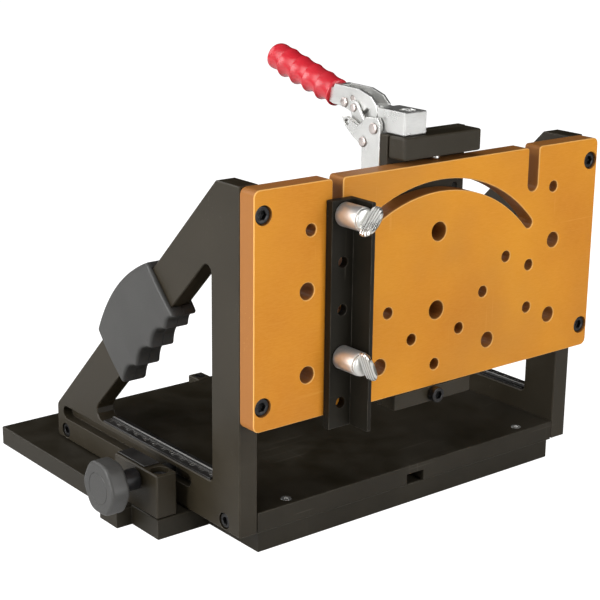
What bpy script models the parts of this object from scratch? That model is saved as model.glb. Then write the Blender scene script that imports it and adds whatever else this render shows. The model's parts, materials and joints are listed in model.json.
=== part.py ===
"""Dovetail jig: a sliding carriage with a drilled face plate, a side fence and a toggle hold-down.

The frame has +X to the right, +Y to the rear and +Z up. Its origin is the centre of the base
plate's underside. Sizes below are in millimetres; the builders turn them into metres.
"""
import math

import bmesh
import bpy
from mathutils import Matrix, Vector

MM = 0.001
GAP = 0.3

# Base plate
PLATE = 12.7
BASE_HALF_NARROW = 120.0
BASE_HALF_WIDE = 156.6
BASE_FRONT = -118.5
BASE_STEP = -70.5
BASE_REAR = 118.5
TAB_REACH = 10.6

# Carriage: every depth below is measured rearwards from its front face
FRONT = -120.5
CARRIAGE_DEPTH = 205.5
INNER_HALF = 121.9
OUTER_HALF = INNER_HALF + PLATE
STRUT_MID = INNER_HALF + PLATE / 2
DECK_LOW = PLATE + GAP
DECK_TOP = DECK_LOW + PLATE
FRAME_LOW = 13.6
FRAME_TOP = 216.5
SLOPE_OUTER = 238.1
SLOPE_INNER = 200.2
RAIL_TOP = 39.5
POST_DEPTH = 26.4
GROOVE_HALF = 6.8
GROOVE_TOP = 20.0
KEY_HALF = 6.35
TRAVEL_SLOT_Z = 32.2
TRAVEL_SLOT_HALF = 4.4

# Face plate
FACE_BACK = -GAP
FACE_FRONT = FACE_BACK - PLATE
FACE_LOW = 80.7
FACE_TOP = 216.4
ARC_CENTRE_Z = 100.0
ARC_RADIUS = 102.6
ARC_HALF_WIDTH = 3.4
ARC_END = math.radians(42.8)
SLOT_X = 77.3
SLOT_FLOOR = 193.5
CORNER_SCREW_Z = (94.8, 202.5)
BIG_HOLES = ((0, 127.7), (0, 175.3))
MIDDLE_HOLES = ((98.0, 155.8), (97.4, 107.35), (43.8, 100.85))
SMALL_HOLES = ((95.8, 190.0), (56.8, 151.4), (SLOT_X, 142.9), (38.2, 132.4), (SLOT_X, 115.6), (19.2, 112.95))
LOW_HOLE = (0, 94.1)
BIG_RADIUS = 5.75
MIDDLE_RADIUS = 5.0
SMALL_RADIUS = 3.6

# Clamp post and hold-down
POST_HALF = 30.7
POST_THICK = 6.35
POST_LOW = 70.8
POST_TOP = 233.0
BLOCK_LOW = 220.0
POST_SCREW_Z = (151.5, 190.0)
TOGGLE_X = -18.9
TOGGLE_SCREW_Z = (186.0, 206.0)
ARM_PIN = (12.2, 235.1)
LINK_PIN = (21.2, 226.1)
HANDLE_PIN = (38.1, 248.3)
COUPLER_PIN = (34.6, 243.7)
PIN_RADIUS = 1.9
GRIP_START = (58.4, 248.4)
GRIP_TILT = math.radians(15.0)
GRIP_LENGTH = 64.5

# Side fence
FENCE_LEFT = -85.6
FENCE_RIGHT = -67.8
FENCE_WALL = 5.0
FENCE_WEB = 2.4
FENCE_REACH = 20.3
FENCE_LOW = 73.5
FENCE_TOP = 205.5
FENCE_PITCH = 27.3
UPPER_SCREW_Z = 197.5
LOWER_SCREW_Z = 115.6
SPACER_LENGTH = 16.4
SPACER_RADIUS = 6.8
PADDLE_HALF = 9.3
PADDLE_REACH = 7.3
PADDLE_MIDDLE = 4.9
PADDLE_THICK = 3.0
PADDLE_TURN = {"upper": math.radians(53), "lower": math.radians(112)}

# Pin block and knob on the left of the base
BLOCK_INNER_X = -142.9
BLOCK_Y = (50.4, 96.0)
BLOCK_TOP = 40.0
KNOB_Y = 71.5
KNOB_FACE_X = -183.3
KNOB_THICK = 12.0

# Grips: u runs down the sloping strut, v points out of it
GRIP_U = (-48.5, 30.5)
GRIP_PROUD = 2.5
SCALLOP_PITCH = 22.0
CUSP_V = -20.5
TROUGH_V = -15.7

PLANE_TURN = {
    "XY": (0, 0, 0),
    "XZ": (math.pi / 2, 0, 0),
    "YZ": (math.pi / 2, 0, math.pi / 2),
}
AXIS_TURN = {
    "+X": (0, math.pi / 2, 0),
    "-X": (0, -math.pi / 2, 0),
    "+Y": (-math.pi / 2, 0, 0),
    "-Y": (math.pi / 2, 0, 0),
    "+Z": (0, 0, 0),
    "-Z": (math.pi, 0, 0),
}
FINISHES = {
    "black_anodised": ((0.020, 0.019, 0.018), 0.42, 0.6),
    "amber_phenolic": ((0.62, 0.27, 0.045), 0.38, 0.0),
    "zinc_plate": ((0.72, 0.73, 0.74), 0.28, 1.0),
    "machined_aluminium": ((0.78, 0.77, 0.75), 0.25, 1.0),
    "black_oxide": ((0.015, 0.015, 0.016), 0.35, 0.7),
    "moulded_black": ((0.045, 0.044, 0.042), 0.55, 0.0),
    "red_vinyl": ((0.72, 0.03, 0.05), 0.35, 0.0),
    "etched_scale": ((0.52, 0.53, 0.54), 0.35, 0.8),
}


def back(depth):
    """World Y of a depth measured rearwards from the carriage's front face."""
    return FRONT + depth


def clear_scene():
    """Remove the objects that the file opens with."""
    for item in list(bpy.data.objects):
        bpy.data.objects.remove(item, do_unlink=True)


def new_collection(name, hidden=False):
    """A collection under the scene; the cutters' collection is hidden from renders."""
    group = bpy.data.collections.new(name)
    bpy.context.scene.collection.children.link(group)
    group.hide_render = hidden
    return group


def finish(name):
    """A Principled material from the FINISHES table."""
    if name in bpy.data.materials:
        return bpy.data.materials[name]
    colour, roughness, metallic = FINISHES[name]
    material = bpy.data.materials.new(name)
    material.use_nodes = True
    shader = material.node_tree.nodes["Principled BSDF"]
    shader.inputs["Base Color"].default_value = (*colour, 1.0)
    shader.inputs["Roughness"].default_value = roughness
    shader.inputs["Metallic"].default_value = metallic
    return material


def place(item, name, material, group):
    """Name an object, give it its material and put it in its collection."""
    item.name = name
    item.data.name = name
    item.data.materials.clear()
    if material:
        item.data.materials.append(finish(material))
    for owner in list(item.users_collection):
        owner.objects.unlink(item)
    group.objects.link(item)
    return item


def mesh_object(name, mesh, material, group):
    """A new object around a mesh."""
    item = bpy.data.objects.new(name, mesh)
    group.objects.link(item)
    return place(item, name, material, group)


def arc(centre, radius, start, end, steps):
    """Points on an arc, from start to end in radians, both ends included."""
    turn = (end - start) / steps
    return [
        (centre[0] + radius * math.cos(start + turn * i), centre[1] + radius * math.sin(start + turn * i))
        for i in range(steps + 1)
    ]


def ring(centre, radius, sides, first=0.0):
    """The corners of a regular polygon round a centre, from a first angle."""
    return arc(centre, radius, first, first + math.tau * (sides - 1) / sides, sides - 1)


def rounded(corners, radii, steps=4):
    """An outline whose corners are replaced by arcs of the given radii."""
    points = []
    count = len(corners)
    for i, corner in enumerate(corners):
        radius = radii[i] if isinstance(radii, (list, tuple)) else radii
        here = Vector(corner)
        before = (Vector(corners[i - 1]) - here).normalized()
        after = (Vector(corners[(i + 1) % count]) - here).normalized()
        if radius <= 0:
            points.append(tuple(here))
            continue
        half = before.angle(after) / 2
        reach = radius / math.tan(half)
        centre = here + (before + after).normalized() * (radius / math.sin(half))
        first = here + before * reach - centre
        last = here + after * reach - centre
        sweep = first.angle_signed(last)
        for k in range(steps + 1):
            spoke = first.copy()
            spoke.rotate(Matrix.Rotation(-sweep * k / steps, 2))
            points.append(tuple(centre + spoke))
    return points


def outline_solid(name, material, group, outlines, thickness, plane, middle, rim=0.4):
    """A flat outline with holes, given a thickness and chamfered rims, welded into a mesh.

    The outline's two axes are those of the plane; middle is where the thickness is centred.
    """
    curve = bpy.data.curves.new(name, "CURVE")
    curve.dimensions = "2D"
    curve.fill_mode = "BOTH"
    curve.extrude = (thickness / 2 - rim) * MM
    curve.bevel_depth = rim * MM
    curve.bevel_resolution = 0
    curve.offset = -rim * MM
    for points in outlines:
        spline = curve.splines.new("POLY")
        spline.points.add(len(points) - 1)
        for point, (a, b) in zip(spline.points, points):
            point.co = (a * MM, b * MM, 0, 1)
        spline.use_cyclic_u = True
    drawn = bpy.data.objects.new(name + "_outline", curve)
    group.objects.link(drawn)
    drawn.rotation_euler = PLANE_TURN[plane]
    drawn.location = Vector(middle) * MM
    bpy.context.view_layer.update()
    evaluated = drawn.evaluated_get(bpy.context.evaluated_depsgraph_get())
    mesh = bpy.data.meshes.new_from_object(evaluated)
    shape = bmesh.new()
    shape.from_mesh(mesh)
    bmesh.ops.remove_doubles(shape, verts=shape.verts, dist=1e-6)
    bmesh.ops.recalc_face_normals(shape, faces=shape.faces)
    shape.to_mesh(mesh)
    shape.free()
    item = mesh_object(name, mesh, material, group)
    item.matrix_world = drawn.matrix_world.copy()
    bpy.data.objects.remove(drawn, do_unlink=True)
    bpy.data.curves.remove(curve)
    return item


def box(name, material, group, low, high, edge=0.0, segments=1):
    """A box between two corners, with its edges bevelled."""
    shape = bmesh.new()
    bmesh.ops.create_cube(shape, size=1.0)
    size = Vector(high) - Vector(low)
    bmesh.ops.scale(shape, vec=size * MM, verts=shape.verts)
    mesh = bpy.data.meshes.new(name)
    shape.to_mesh(mesh)
    shape.free()
    item = mesh_object(name, mesh, material, group)
    item.location = (Vector(low) + size / 2) * MM
    if edge:
        bevel = item.modifiers.new("edges", "BEVEL")
        bevel.width = edge * MM
        bevel.segments = segments
        bevel.limit_method = "ANGLE"
    return item


def rod(name, material, group, start, axis, radius, length, sides=12, end_radius=None):
    """A cylinder or cone that leaves its start point along an axis."""
    shape = bmesh.new()
    bmesh.ops.create_cone(
        shape,
        cap_ends=True,
        segments=sides,
        radius1=radius * MM,
        radius2=(radius if end_radius is None else end_radius) * MM,
        depth=length * MM,
    )
    bmesh.ops.translate(shape, vec=(0, 0, length * MM / 2), verts=shape.verts)
    mesh = bpy.data.meshes.new(name)
    shape.to_mesh(mesh)
    shape.free()
    item = mesh_object(name, mesh, material, group)
    item.rotation_euler = AXIS_TURN[axis]
    item.location = Vector(start) * MM
    return item


def turned(name, material, group, origin, axis, profile, steps=20):
    """A turned solid: the profile's (radius, height) points run down its outer side."""
    mesh = bpy.data.meshes.new(name)
    points = [(r * MM, 0, h * MM) for r, h in profile]
    mesh.from_pydata(points, [(i, i + 1) for i in range(len(points) - 1)], [])
    item = mesh_object(name, mesh, material, group)
    item.rotation_euler = axis if isinstance(axis, tuple) else AXIS_TURN[axis]
    item.location = Vector(origin) * MM
    screw = item.modifiers.new("turn", "SCREW")
    screw.steps = steps
    screw.render_steps = steps
    screw.use_merge_vertices = True
    screw.merge_threshold = 0.0001
    return item


class Jig:
    """Holds the two collections and the cuts and joins between pieces."""

    def __init__(self):
        self.parts = new_collection("dovetail_jig")
        self.cutters = new_collection("cutters", hidden=True)

    def combine(self, target, tool, how):
        """Add a Boolean modifier whose second operand is kept as a hidden guide."""
        tool.hide_render = True
        tool.display_type = "WIRE"
        step = target.modifiers.new(tool.name, "BOOLEAN")
        step.operation = how
        step.solver = "EXACT"
        step.object = tool

    def cut(self, target, tool):
        """Remove a guide's volume from a piece."""
        self.combine(target, tool, "DIFFERENCE")

    def join(self, target, tool):
        """Add a guide's volume to a piece."""
        self.combine(target, tool, "UNION")

    def bore(self, target, start, axis, radius, depth, sides=12):
        """Drill a piece from a start point; the drill begins 1 mm before the point."""
        lead = Matrix.Rotation(0, 4, "Z").to_3x3()
        lead.rotate(rod_turn(axis))
        entry = Vector(start) - lead @ Vector((0, 0, 1.0))
        name = f"{target.name}_bore_{len(target.modifiers)}"
        tool = rod(name, None, self.cutters, entry, axis, radius, depth + 1.0, sides)
        self.cut(target, tool)

    def cap_screw(self, name, seat, axis, head, shank, material="black_oxide"):
        """A socket-head cap screw; axis is the way its head points, seat is under the head.

        head is (radius, height) and shank is (radius, length).
        """
        r, h = head
        s, length = shank
        profile = [(0, h), (r - 0.6, h), (r, h - 0.6), (r, 0), (s, 0), (s, 0.5 - length), (s - 0.5, -length), (0, -length)]
        item = turned(name, material, self.parts, seat, axis, profile, 16)
        socket = rod(name + "_socket", None, self.cutters, (0, 0, h * 0.45), "+Z", r * 0.55, h, 6)
        socket.parent = item
        self.cut(item, socket)
        return item

    def flat_screw(self, name, top, radius, length, material):
        """A countersunk screw whose flat head is level with the surface that it holds."""
        shank = radius * 0.5
        profile = [(0, 0), (radius, 0), (radius, -0.3), (shank, -radius * 0.55), (shank, -length), (0, -length)]
        item = turned(name, material, self.parts, top, "+Z", profile, 16)
        socket = rod(name + "_socket", None, self.cutters, (0, 0, -1.4), "+Z", radius * 0.42, 3, 6)
        socket.parent = item
        self.cut(item, socket)
        return item

    def countersink(self, target, top, radius, depth):
        """The seat of a flat screw, with a clearance bore below it."""
        wide = radius + GAP
        narrow = radius * 0.5 + GAP
        profile = [
            (0, 1), (wide, 1), (wide, -0.3 - GAP), (narrow, -radius * 0.55 - GAP), (narrow, -depth), (0, -depth),
        ]
        name = f"{target.name}_sink_{len(target.modifiers)}"
        self.cut(target, turned(name, None, self.cutters, top, "+Z", profile, 16))


def rod_turn(axis):
    """The rotation that takes +Z to the named axis."""
    from_axis = {
        "+X": Matrix.Rotation(math.pi / 2, 3, "Y"),
        "-X": Matrix.Rotation(-math.pi / 2, 3, "Y"),
        "+Y": Matrix.Rotation(-math.pi / 2, 3, "X"),
        "-Y": Matrix.Rotation(math.pi / 2, 3, "X"),
        "+Z": Matrix.Identity(3),
        "-Z": Matrix.Rotation(math.pi, 3, "X"),
    }
    return from_axis[axis]


def build_base(jig):
    """The stepped base plate with its guide key, rear stop and pin block."""
    tab = (back(78.0), back(97.0))
    half = BASE_HALF_WIDE
    outline = [
        (-BASE_HALF_NARROW, BASE_FRONT), (BASE_HALF_NARROW, BASE_FRONT), (BASE_HALF_NARROW, BASE_STEP + GAP),
        (half, BASE_STEP + GAP), (half, BASE_REAR), (-half, BASE_REAR), (-half, tab[1]), (-half - TAB_REACH, tab[1]),
        (-half - TAB_REACH, tab[0]), (-half, tab[0]), (-half, BASE_STEP), (-BASE_HALF_NARROW, BASE_STEP),
    ]
    base = outline_solid(
        "base_plate", "black_anodised", jig.parts, [outline], PLATE, "XY", (0, 0, PLATE / 2), 0.5
    )

    key_top = DECK_LOW + 6.5
    key = box(
        "guide_key", "machined_aluminium", jig.parts,
        (-KEY_HALF, back(14), DECK_LOW), (KEY_HALF, back(199), key_top), 0.5,
    )
    for name, depth in (("guide_key_screw_front", 40), ("guide_key_screw_rear", 170)):
        spot = (0, back(depth), key_top)
        jig.countersink(key, spot, 4.0, 8)
        jig.flat_screw(name, spot, 4.0, 13, "black_oxide")
        jig.bore(base, (0, back(depth), PLATE), "-Z", 2.4, 8)

    stop = box(
        "rear_stop_block", "black_anodised", jig.parts,
        (-19.3, back(205.8), DECK_LOW), (-8.1, back(218.3), 26.3), 0.5,
    )
    spot = (-13.7, back(212.05), 26.3)
    jig.countersink(stop, spot, 3.6, 14)
    jig.flat_screw("rear_stop_screw", spot, 3.6, 20, "black_oxide")
    jig.bore(base, (-13.7, back(212.05), PLATE), "-Z", 2.2, 8)

    block = box(
        "pin_block", "black_anodised", jig.parts,
        (-BASE_HALF_WIDE, back(BLOCK_Y[0]), DECK_LOW), (BLOCK_INNER_X, back(BLOCK_Y[1]), BLOCK_TOP), 0.7,
    )
    x = (BLOCK_INNER_X - BASE_HALF_WIDE) / 2
    y = back(57.6)
    jig.bore(block, (x, y, BLOCK_TOP), "-Z", 5.6, 8, 24)
    jig.bore(block, (x, y, BLOCK_TOP - 7), "-Z", 3.4, 24)
    jig.bore(base, (x, y, PLATE), "-Z", 3.4, 9)
    jig.cap_screw("pin_block_screw", (x, y, BLOCK_TOP - 7.7), "+Z", (5.0, 5.0), (3.0, 27.0))
    jig.bore(block, (-BASE_HALF_WIDE, back(KNOB_Y), TRAVEL_SLOT_Z), "+X", 4.4, 16, 16)
    box(
        "pin_block_scale", "etched_scale", jig.parts,
        (-BASE_HALF_WIDE + 1.6, back(66), BLOCK_TOP + GAP), (BLOCK_INNER_X - 1.6, back(94.6), BLOCK_TOP + 1.1), 0.2,
    )
    return base


def build_knob(jig):
    """The clamp knob and its threaded stud, which turn about X."""
    centre = (KNOB_FACE_X + KNOB_THICK / 2, back(KNOB_Y), TRAVEL_SLOT_Z)
    lobes = 6
    points = 60
    outline = []
    for i in range(points):
        angle = math.tau * i / points
        radius = 16.0 + 0.9 * math.cos(lobes * angle)
        outline.append((radius * math.cos(angle), radius * math.sin(angle)))
    knob = outline_solid("clamp_knob", "moulded_black", jig.parts, [outline], KNOB_THICK, "YZ", centre, 1.2)
    seat = KNOB_FACE_X + KNOB_THICK
    jig.bore(knob, (seat, centre[1], centre[2]), "-X", 4.3, 8.5, 16)
    collar_end = -BASE_HALF_WIDE - GAP
    tip = -INNER_HALF - PLATE + 3.4
    origin = (seat + GAP, centre[1], centre[2])
    profile = [
        (0, tip - origin[0]), (3.4, tip - origin[0]), (4.0, tip - origin[0] - 0.6), (4.0, collar_end - origin[0]),
        (6.5, collar_end - origin[0]), (6.5, 0), (4.0, 0), (4.0, -7.5), (0, -7.5),
    ]
    turned("knob_stud", "black_oxide", jig.parts, origin, "+X", profile, 20)
    return centre


def side_frame(jig, name, side):
    """One triangular side frame: a post, a sloping strut and a bottom rail round an opening."""
    rear = 202.3
    outer = rounded(
        [
            (0, FRAME_LOW), (rear, FRAME_LOW), (rear, SLOPE_OUTER - rear),
            (SLOPE_OUTER - FRAME_TOP, FRAME_TOP), (0, FRAME_TOP),
        ],
        [0, 3, 5, 3, 0],
    )
    opening = rounded(
        [
            (POST_DEPTH, RAIL_TOP), (SLOPE_INNER - RAIL_TOP, RAIL_TOP), (POST_DEPTH, SLOPE_INNER - POST_DEPTH),
        ],
        [3, 6, 4.5],
    )
    frame = outline_solid(
        name, "black_anodised", jig.parts, [outer, opening], PLATE, "YZ", (side * STRUT_MID, FRONT, 0), 0.6
    )
    slot_start = (52.0, TRAVEL_SLOT_Z)
    slot_end = (190.5, TRAVEL_SLOT_Z)
    stadium = arc(slot_end, TRAVEL_SLOT_HALF, -math.pi / 2, math.pi / 2, 8)
    stadium += arc(slot_start, TRAVEL_SLOT_HALF, math.pi / 2, 3 * math.pi / 2, 8)
    slot_middle = (side * (OUTER_HALF - 2.5), FRONT, 0)
    slot = outline_solid(name + "_travel_slot", None, jig.cutters, [stadium], 8.0, "YZ", slot_middle, 0.01)
    jig.cut(frame, slot)
    return frame


def build_frames(jig):
    """Both side frames with the screws that hold them to the deck plate."""
    deck_outline = [
        (-INNER_HALF + GAP, DECK_LOW), (-GROOVE_HALF, DECK_LOW), (-GROOVE_HALF, GROOVE_TOP),
        (GROOVE_HALF, GROOVE_TOP), (GROOVE_HALF, DECK_LOW), (INNER_HALF - GAP, DECK_LOW),
        (INNER_HALF - GAP, DECK_TOP), (-INNER_HALF + GAP, DECK_TOP),
    ]
    deck = outline_solid(
        "carriage_plate", "black_anodised", jig.parts, [deck_outline], CARRIAGE_DEPTH, "XZ",
        (0, back(CARRIAGE_DEPTH / 2), 0), 0.4,
    )
    for side, label in ((-1, "left"), (1, "right")):
        frame = side_frame(jig, f"{label}_side_frame", side)
        out = "+X" if side > 0 else "-X"
        into = "-X" if side > 0 else "+X"
        for end, depth in (("front", 14.6), ("rear", 192.0)):
            z = DECK_LOW + PLATE / 2
            face = side * OUTER_HALF
            jig.bore(frame, (face, back(depth), z), into, 5.0, 5.6, 20)
            jig.bore(frame, (face - side * 5, back(depth), z), into, 2.9, 9)
            jig.bore(deck, (side * INNER_HALF, back(depth), z), into, 2.8, 13)
            seat = (face - side * 5.2, back(depth), z)
            jig.cap_screw(f"{label}_frame_screw_{end}", seat, out, (4.4, 4.6), (2.5, 19.0))
        for z in CORNER_SCREW_Z:
            jig.bore(frame, (side * STRUT_MID, FRONT, z), "+Y", 3.3, 14)
        jig.countersink(deck, (side * 95.6, back(7.2), DECK_TOP), 3.2, 8)
        jig.flat_screw(f"deck_screw_{label}", (side * 95.6, back(7.2), DECK_TOP), 3.2, 7.6, "zinc_plate")
    return deck


def grip_point(u, v):
    """Depth and height of a point given along and out of the sloping strut."""
    total = v * math.sqrt(2) + (SLOPE_OUTER + SLOPE_INNER) / 2
    return ((total + u * math.sqrt(2)) / 2, (total - u * math.sqrt(2)) / 2)


def grip_outline():
    """The grip's side view: a crowned back and a row of finger scallops."""
    u0, u1 = GRIP_U
    crown = []
    steps = 12
    for i in range(steps + 1):
        t = i / steps
        u = u1 + (u0 - u1) * t
        bulge = math.sin(math.pi * (0.12 + 0.80 * t)) ** 0.8
        crown.append((u, 13.5 + 13.5 * bulge))
    fingers = []
    cusps = [u0, u1 - 3 * SCALLOP_PITCH, u1 - 2 * SCALLOP_PITCH, u1 - SCALLOP_PITCH, u1]
    for start, end in zip(cusps, cusps[1:]):
        for k in range(6):
            t = k / 6
            dip = math.sin(math.pi * t) * (end - start) / SCALLOP_PITCH
            fingers.append((start + (end - start) * t, CUSP_V + (TROUGH_V - CUSP_V) * dip))
    fingers.append((u1, CUSP_V))
    return [grip_point(u, v) for u, v in crown + fingers]


def build_grips(jig):
    """A moulded grip on each strut, in an outer and an inner half."""
    outline = grip_outline()
    channel_half = (SLOPE_OUTER - SLOPE_INNER) / math.sqrt(2) / 2 + 0.35
    u0, u1 = GRIP_U
    corners = [
        grip_point(u, v)
        for u, v in (
            (u0 - 5, -channel_half), (u1 + 5, -channel_half), (u1 + 5, channel_half), (u0 - 5, channel_half)
        )
    ]
    half_strut = PLATE / 2
    for side, label in ((-1, "left"), (1, "right")):
        for outward, half in ((1, "outer"), (-1, "inner")):
            thick = half_strut + GRIP_PROUD - GAP / 2
            middle_x = side * (STRUT_MID + outward * (GAP / 2 + thick / 2))
            name = f"{label}_grip_{half}"
            grip = outline_solid(
                name, "moulded_black", jig.parts, [outline], thick, "YZ", (middle_x, FRONT, 0), 0.7
            )
            room = half_strut + GAP
            tool = outline_solid(
                name + "_channel", None, jig.cutters, [corners], 2 * room, "YZ", (side * STRUT_MID, FRONT, 0), 0.01
            )
            jig.cut(grip, tool)


def build_scales(jig):
    """A graduated strip with a bright rib along each bottom rail's top."""
    z = RAIL_TOP + GAP
    for side, label in ((-1, "left"), (1, "right")):
        across = [(0.4, 0), (12.3, 0), (12.3, 0.9), (6.0, 0.9), (5.7, 1.7), (4.3, 1.7), (4.0, 0.9), (0.4, 0.9)]
        outline = [(side * (INNER_HALF + a), z + b) for a, b in across]
        outline_solid(
            f"{label}_scale_strip", "etched_scale", jig.parts, [outline], 116.0, "XZ", (0, back(87.0), 0), 0.08
        )


def face_outlines():
    """The face plate's outer edge with its two open slots, its arc slot and its holes."""
    corner = 4.0
    flare = 2.0
    edge = []
    edge += arc((-OUTER_HALF + corner, FACE_LOW + corner), corner, math.pi, 1.5 * math.pi, 4)
    edge += arc((OUTER_HALF - corner, FACE_LOW + corner), corner, 1.5 * math.pi, math.tau, 4)
    edge += arc((OUTER_HALF - corner, FACE_TOP - corner), corner, 0, math.pi / 2, 4)
    for x, half in ((SLOT_X, 4.4), (-SLOT_X, 3.7)):
        edge += arc((x + half + flare, FACE_TOP - flare), flare, math.pi / 2, math.pi, 3)
        edge += arc((x, SLOT_FLOOR), half, 0, -math.pi, 8)
        edge += arc((x - half - flare, FACE_TOP - flare), flare, 0, math.pi / 2, 3)
    edge += arc((-OUTER_HALF + corner, FACE_TOP - corner), corner, math.pi / 2, math.pi, 4)
    centre = (0, ARC_CENTRE_Z)
    outlines = [edge]
    slot = arc(centre, ARC_RADIUS + ARC_HALF_WIDTH, ARC_END, math.pi - ARC_END, 28)
    left_end = (-ARC_RADIUS * math.cos(ARC_END), ARC_CENTRE_Z + ARC_RADIUS * math.sin(ARC_END))
    right_end = (-left_end[0], left_end[1])
    slot += arc(left_end, ARC_HALF_WIDTH, math.pi - ARC_END, math.tau - ARC_END, 6)[1:-1]
    slot += arc(centre, ARC_RADIUS - ARC_HALF_WIDTH, math.pi - ARC_END, ARC_END, 28)
    slot += arc(right_end, ARC_HALF_WIDTH, ARC_END - math.pi, ARC_END, 6)[1:-1]
    outlines.append(slot)
    for holes, radius, sides in (
        (BIG_HOLES, BIG_RADIUS, 20), (MIDDLE_HOLES, MIDDLE_RADIUS, 18), (SMALL_HOLES, SMALL_RADIUS, 14)
    ):
        for x, z in holes:
            for side in (-1, 1) if x else (1,):
                outlines.append(ring((side * x, z), radius, sides, 0.1 + 0.05 * side))
    outlines.append(ring(LOW_HOLE, SMALL_RADIUS, 14))
    return outlines


def build_face(jig):
    """The drilled face plate and its four corner screws."""
    middle = (0, back((FACE_BACK + FACE_FRONT) / 2), 0)
    face = outline_solid("face_plate", "amber_phenolic", jig.parts, face_outlines(), PLATE, "XZ", middle, 0.5)
    for side, label in ((-1, "left"), (1, "right")):
        for z, level in zip(CORNER_SCREW_Z, ("lower", "upper")):
            spot = (side * STRUT_MID, back(FACE_FRONT), z)
            jig.bore(face, spot, "+Y", 5.6, 6.6, 24)
            jig.bore(face, (spot[0], spot[1] + 6, z), "+Y", 3.3, 9)
            seat = (spot[0], back(FACE_FRONT) + 6.3, z)
            jig.cap_screw(f"face_screw_{level}_{label}", seat, "-Y", (5.0, 5.2), (3.0, 19.0))
    for z in POST_SCREW_Z:
        jig.bore(face, (0, back(FACE_BACK), z), "-Y", 2.9, 9)
    return face


def build_post(jig):
    """The clamp post behind the face plate and the foot that closes under it."""
    post = box(
        "clamp_post", "black_anodised", jig.parts,
        (-POST_HALF, back(0), POST_LOW), (POST_HALF, back(POST_THICK), POST_TOP), 0.4,
    )
    foot = box(
        "post_foot", "black_anodised", jig.parts,
        (-POST_HALF, back(FACE_FRONT + 0.3), POST_LOW), (POST_HALF, back(-GAP), FACE_LOW - GAP), 0.4,
    )
    z = (POST_LOW + FACE_LOW) / 2
    jig.bore(foot, (0, back(FACE_FRONT), z), "+Y", 3.4, 14)
    jig.bore(post, (0, back(0), z), "+Y", 3.4, 8)
    jig.cap_screw("post_foot_screw", (0, back(FACE_FRONT), z), "-Y", (4.6, 4.7), (3.0, 18.0))
    for level, height in zip(("lower", "upper"), POST_SCREW_Z):
        jig.bore(post, (0, back(POST_THICK), height), "-Y", 2.9, 8)
        seat = (0, back(POST_THICK + GAP), height)
        jig.cap_screw(f"post_screw_{level}", seat, "+Y", (4.4, 4.6), (2.5, 14.0))
    for x in (-23.2, 23.2):
        jig.bore(post, (x, back(POST_THICK), 197.0), "-Y", 2.6, 8)
    for height in TOGGLE_SCREW_Z:
        jig.bore(post, (TOGGLE_X, back(POST_THICK), height), "-Y", 2.4, 8)
    return post


def thumb_paddle(jig, level, screw):
    """The flat oval paddle of a thumb screw, standing on its collar and turned about its axis."""
    start = 0.8
    dip = math.asin((start - PADDLE_MIDDLE) / PADDLE_REACH)
    turns = [dip + (math.pi - 2 * dip) * k / 20 for k in range(21)]
    outline = [(PADDLE_HALF * math.cos(a), PADDLE_MIDDLE + PADDLE_REACH * math.sin(a)) for a in turns]
    paddle = outline_solid(
        f"{level}_thumb_paddle", None, jig.cutters, [outline], PADDLE_THICK, "XZ", (0, 0, 0), 0.4
    )
    paddle.parent = screw
    paddle.rotation_euler = (math.pi / 2, 0, PADDLE_TURN[level])
    return paddle


def build_fence(jig):
    """The side fence: an angle on two spacers and thumb screws, with a nut behind each."""
    front = FACE_FRONT - GAP
    outline = [
        (FENCE_LEFT, back(front - FENCE_WALL)), (FENCE_RIGHT - FENCE_WEB, back(front - FENCE_WALL)),
        (FENCE_RIGHT - FENCE_WEB, back(front - FENCE_REACH)), (FENCE_RIGHT, back(front - FENCE_REACH)),
        (FENCE_RIGHT, back(front)), (FENCE_LEFT, back(front)),
    ]
    middle = (0, 0, (FENCE_LOW + FENCE_TOP) / 2)
    fence = outline_solid(
        "fence_angle", "black_anodised", jig.parts, [outline], FENCE_TOP - FENCE_LOW, "XY", middle, 0.35
    )
    for k in range(5):
        z = LOWER_SCREW_Z + FENCE_PITCH * (k - 1)
        jig.bore(fence, (-SLOT_X, back(front - FENCE_WALL), z), "+Y", 3.4, 7, 16)
    screw_places = []
    for level, z in (("upper", UPPER_SCREW_Z), ("lower", LOWER_SCREW_Z)):
        start = front - FENCE_WALL - GAP
        rings = [ring((0, 0), SPACER_RADIUS, 28), ring((0, 0), 3.4, 14)]
        spacer_middle = (-SLOT_X, back(start - SPACER_LENGTH / 2), z)
        outline_solid(
            f"{level}_fence_spacer", "machined_aluminium", jig.parts, rings, SPACER_LENGTH, "XZ", spacer_middle, 0.4
        )
        seat = start - SPACER_LENGTH - GAP
        tip = seat - 5.0
        profile = [
            (0, 1.8), (5.9, 1.8), (6.5, 1.2), (6.5, 0.5), (6.0, 0), (3.0, 0), (3.0, tip + 0.5), (2.5, tip), (0, tip),
        ]
        screw = turned(
            f"{level}_thumb_screw", "zinc_plate", jig.parts, (-SLOT_X, back(seat), z), "-Y", profile, 24
        )
        jig.join(screw, thumb_paddle(jig, level, screw))
        nut = outline_solid(
            f"{level}_fence_nut", "zinc_plate", jig.parts, [ring((0, 0), 5.7, 6), ring((0, 0), 3.3, 12)], 5.0,
            "XZ", (-SLOT_X, back(2.6), z), 0.3,
        )
        nut.data.update()
        screw_places.append((-SLOT_X, back(seat), z))
    return screw_places


def slab(jig, name, material, group, points, low, high, rim=0.3):
    """An outline in depth and height, given its width between two distances from the clamp's middle."""
    middle = (TOGGLE_X + (low + high) / 2, FRONT, 0)
    return outline_solid(name, material, group, [points], high - low, "YZ", middle, rim)


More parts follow.
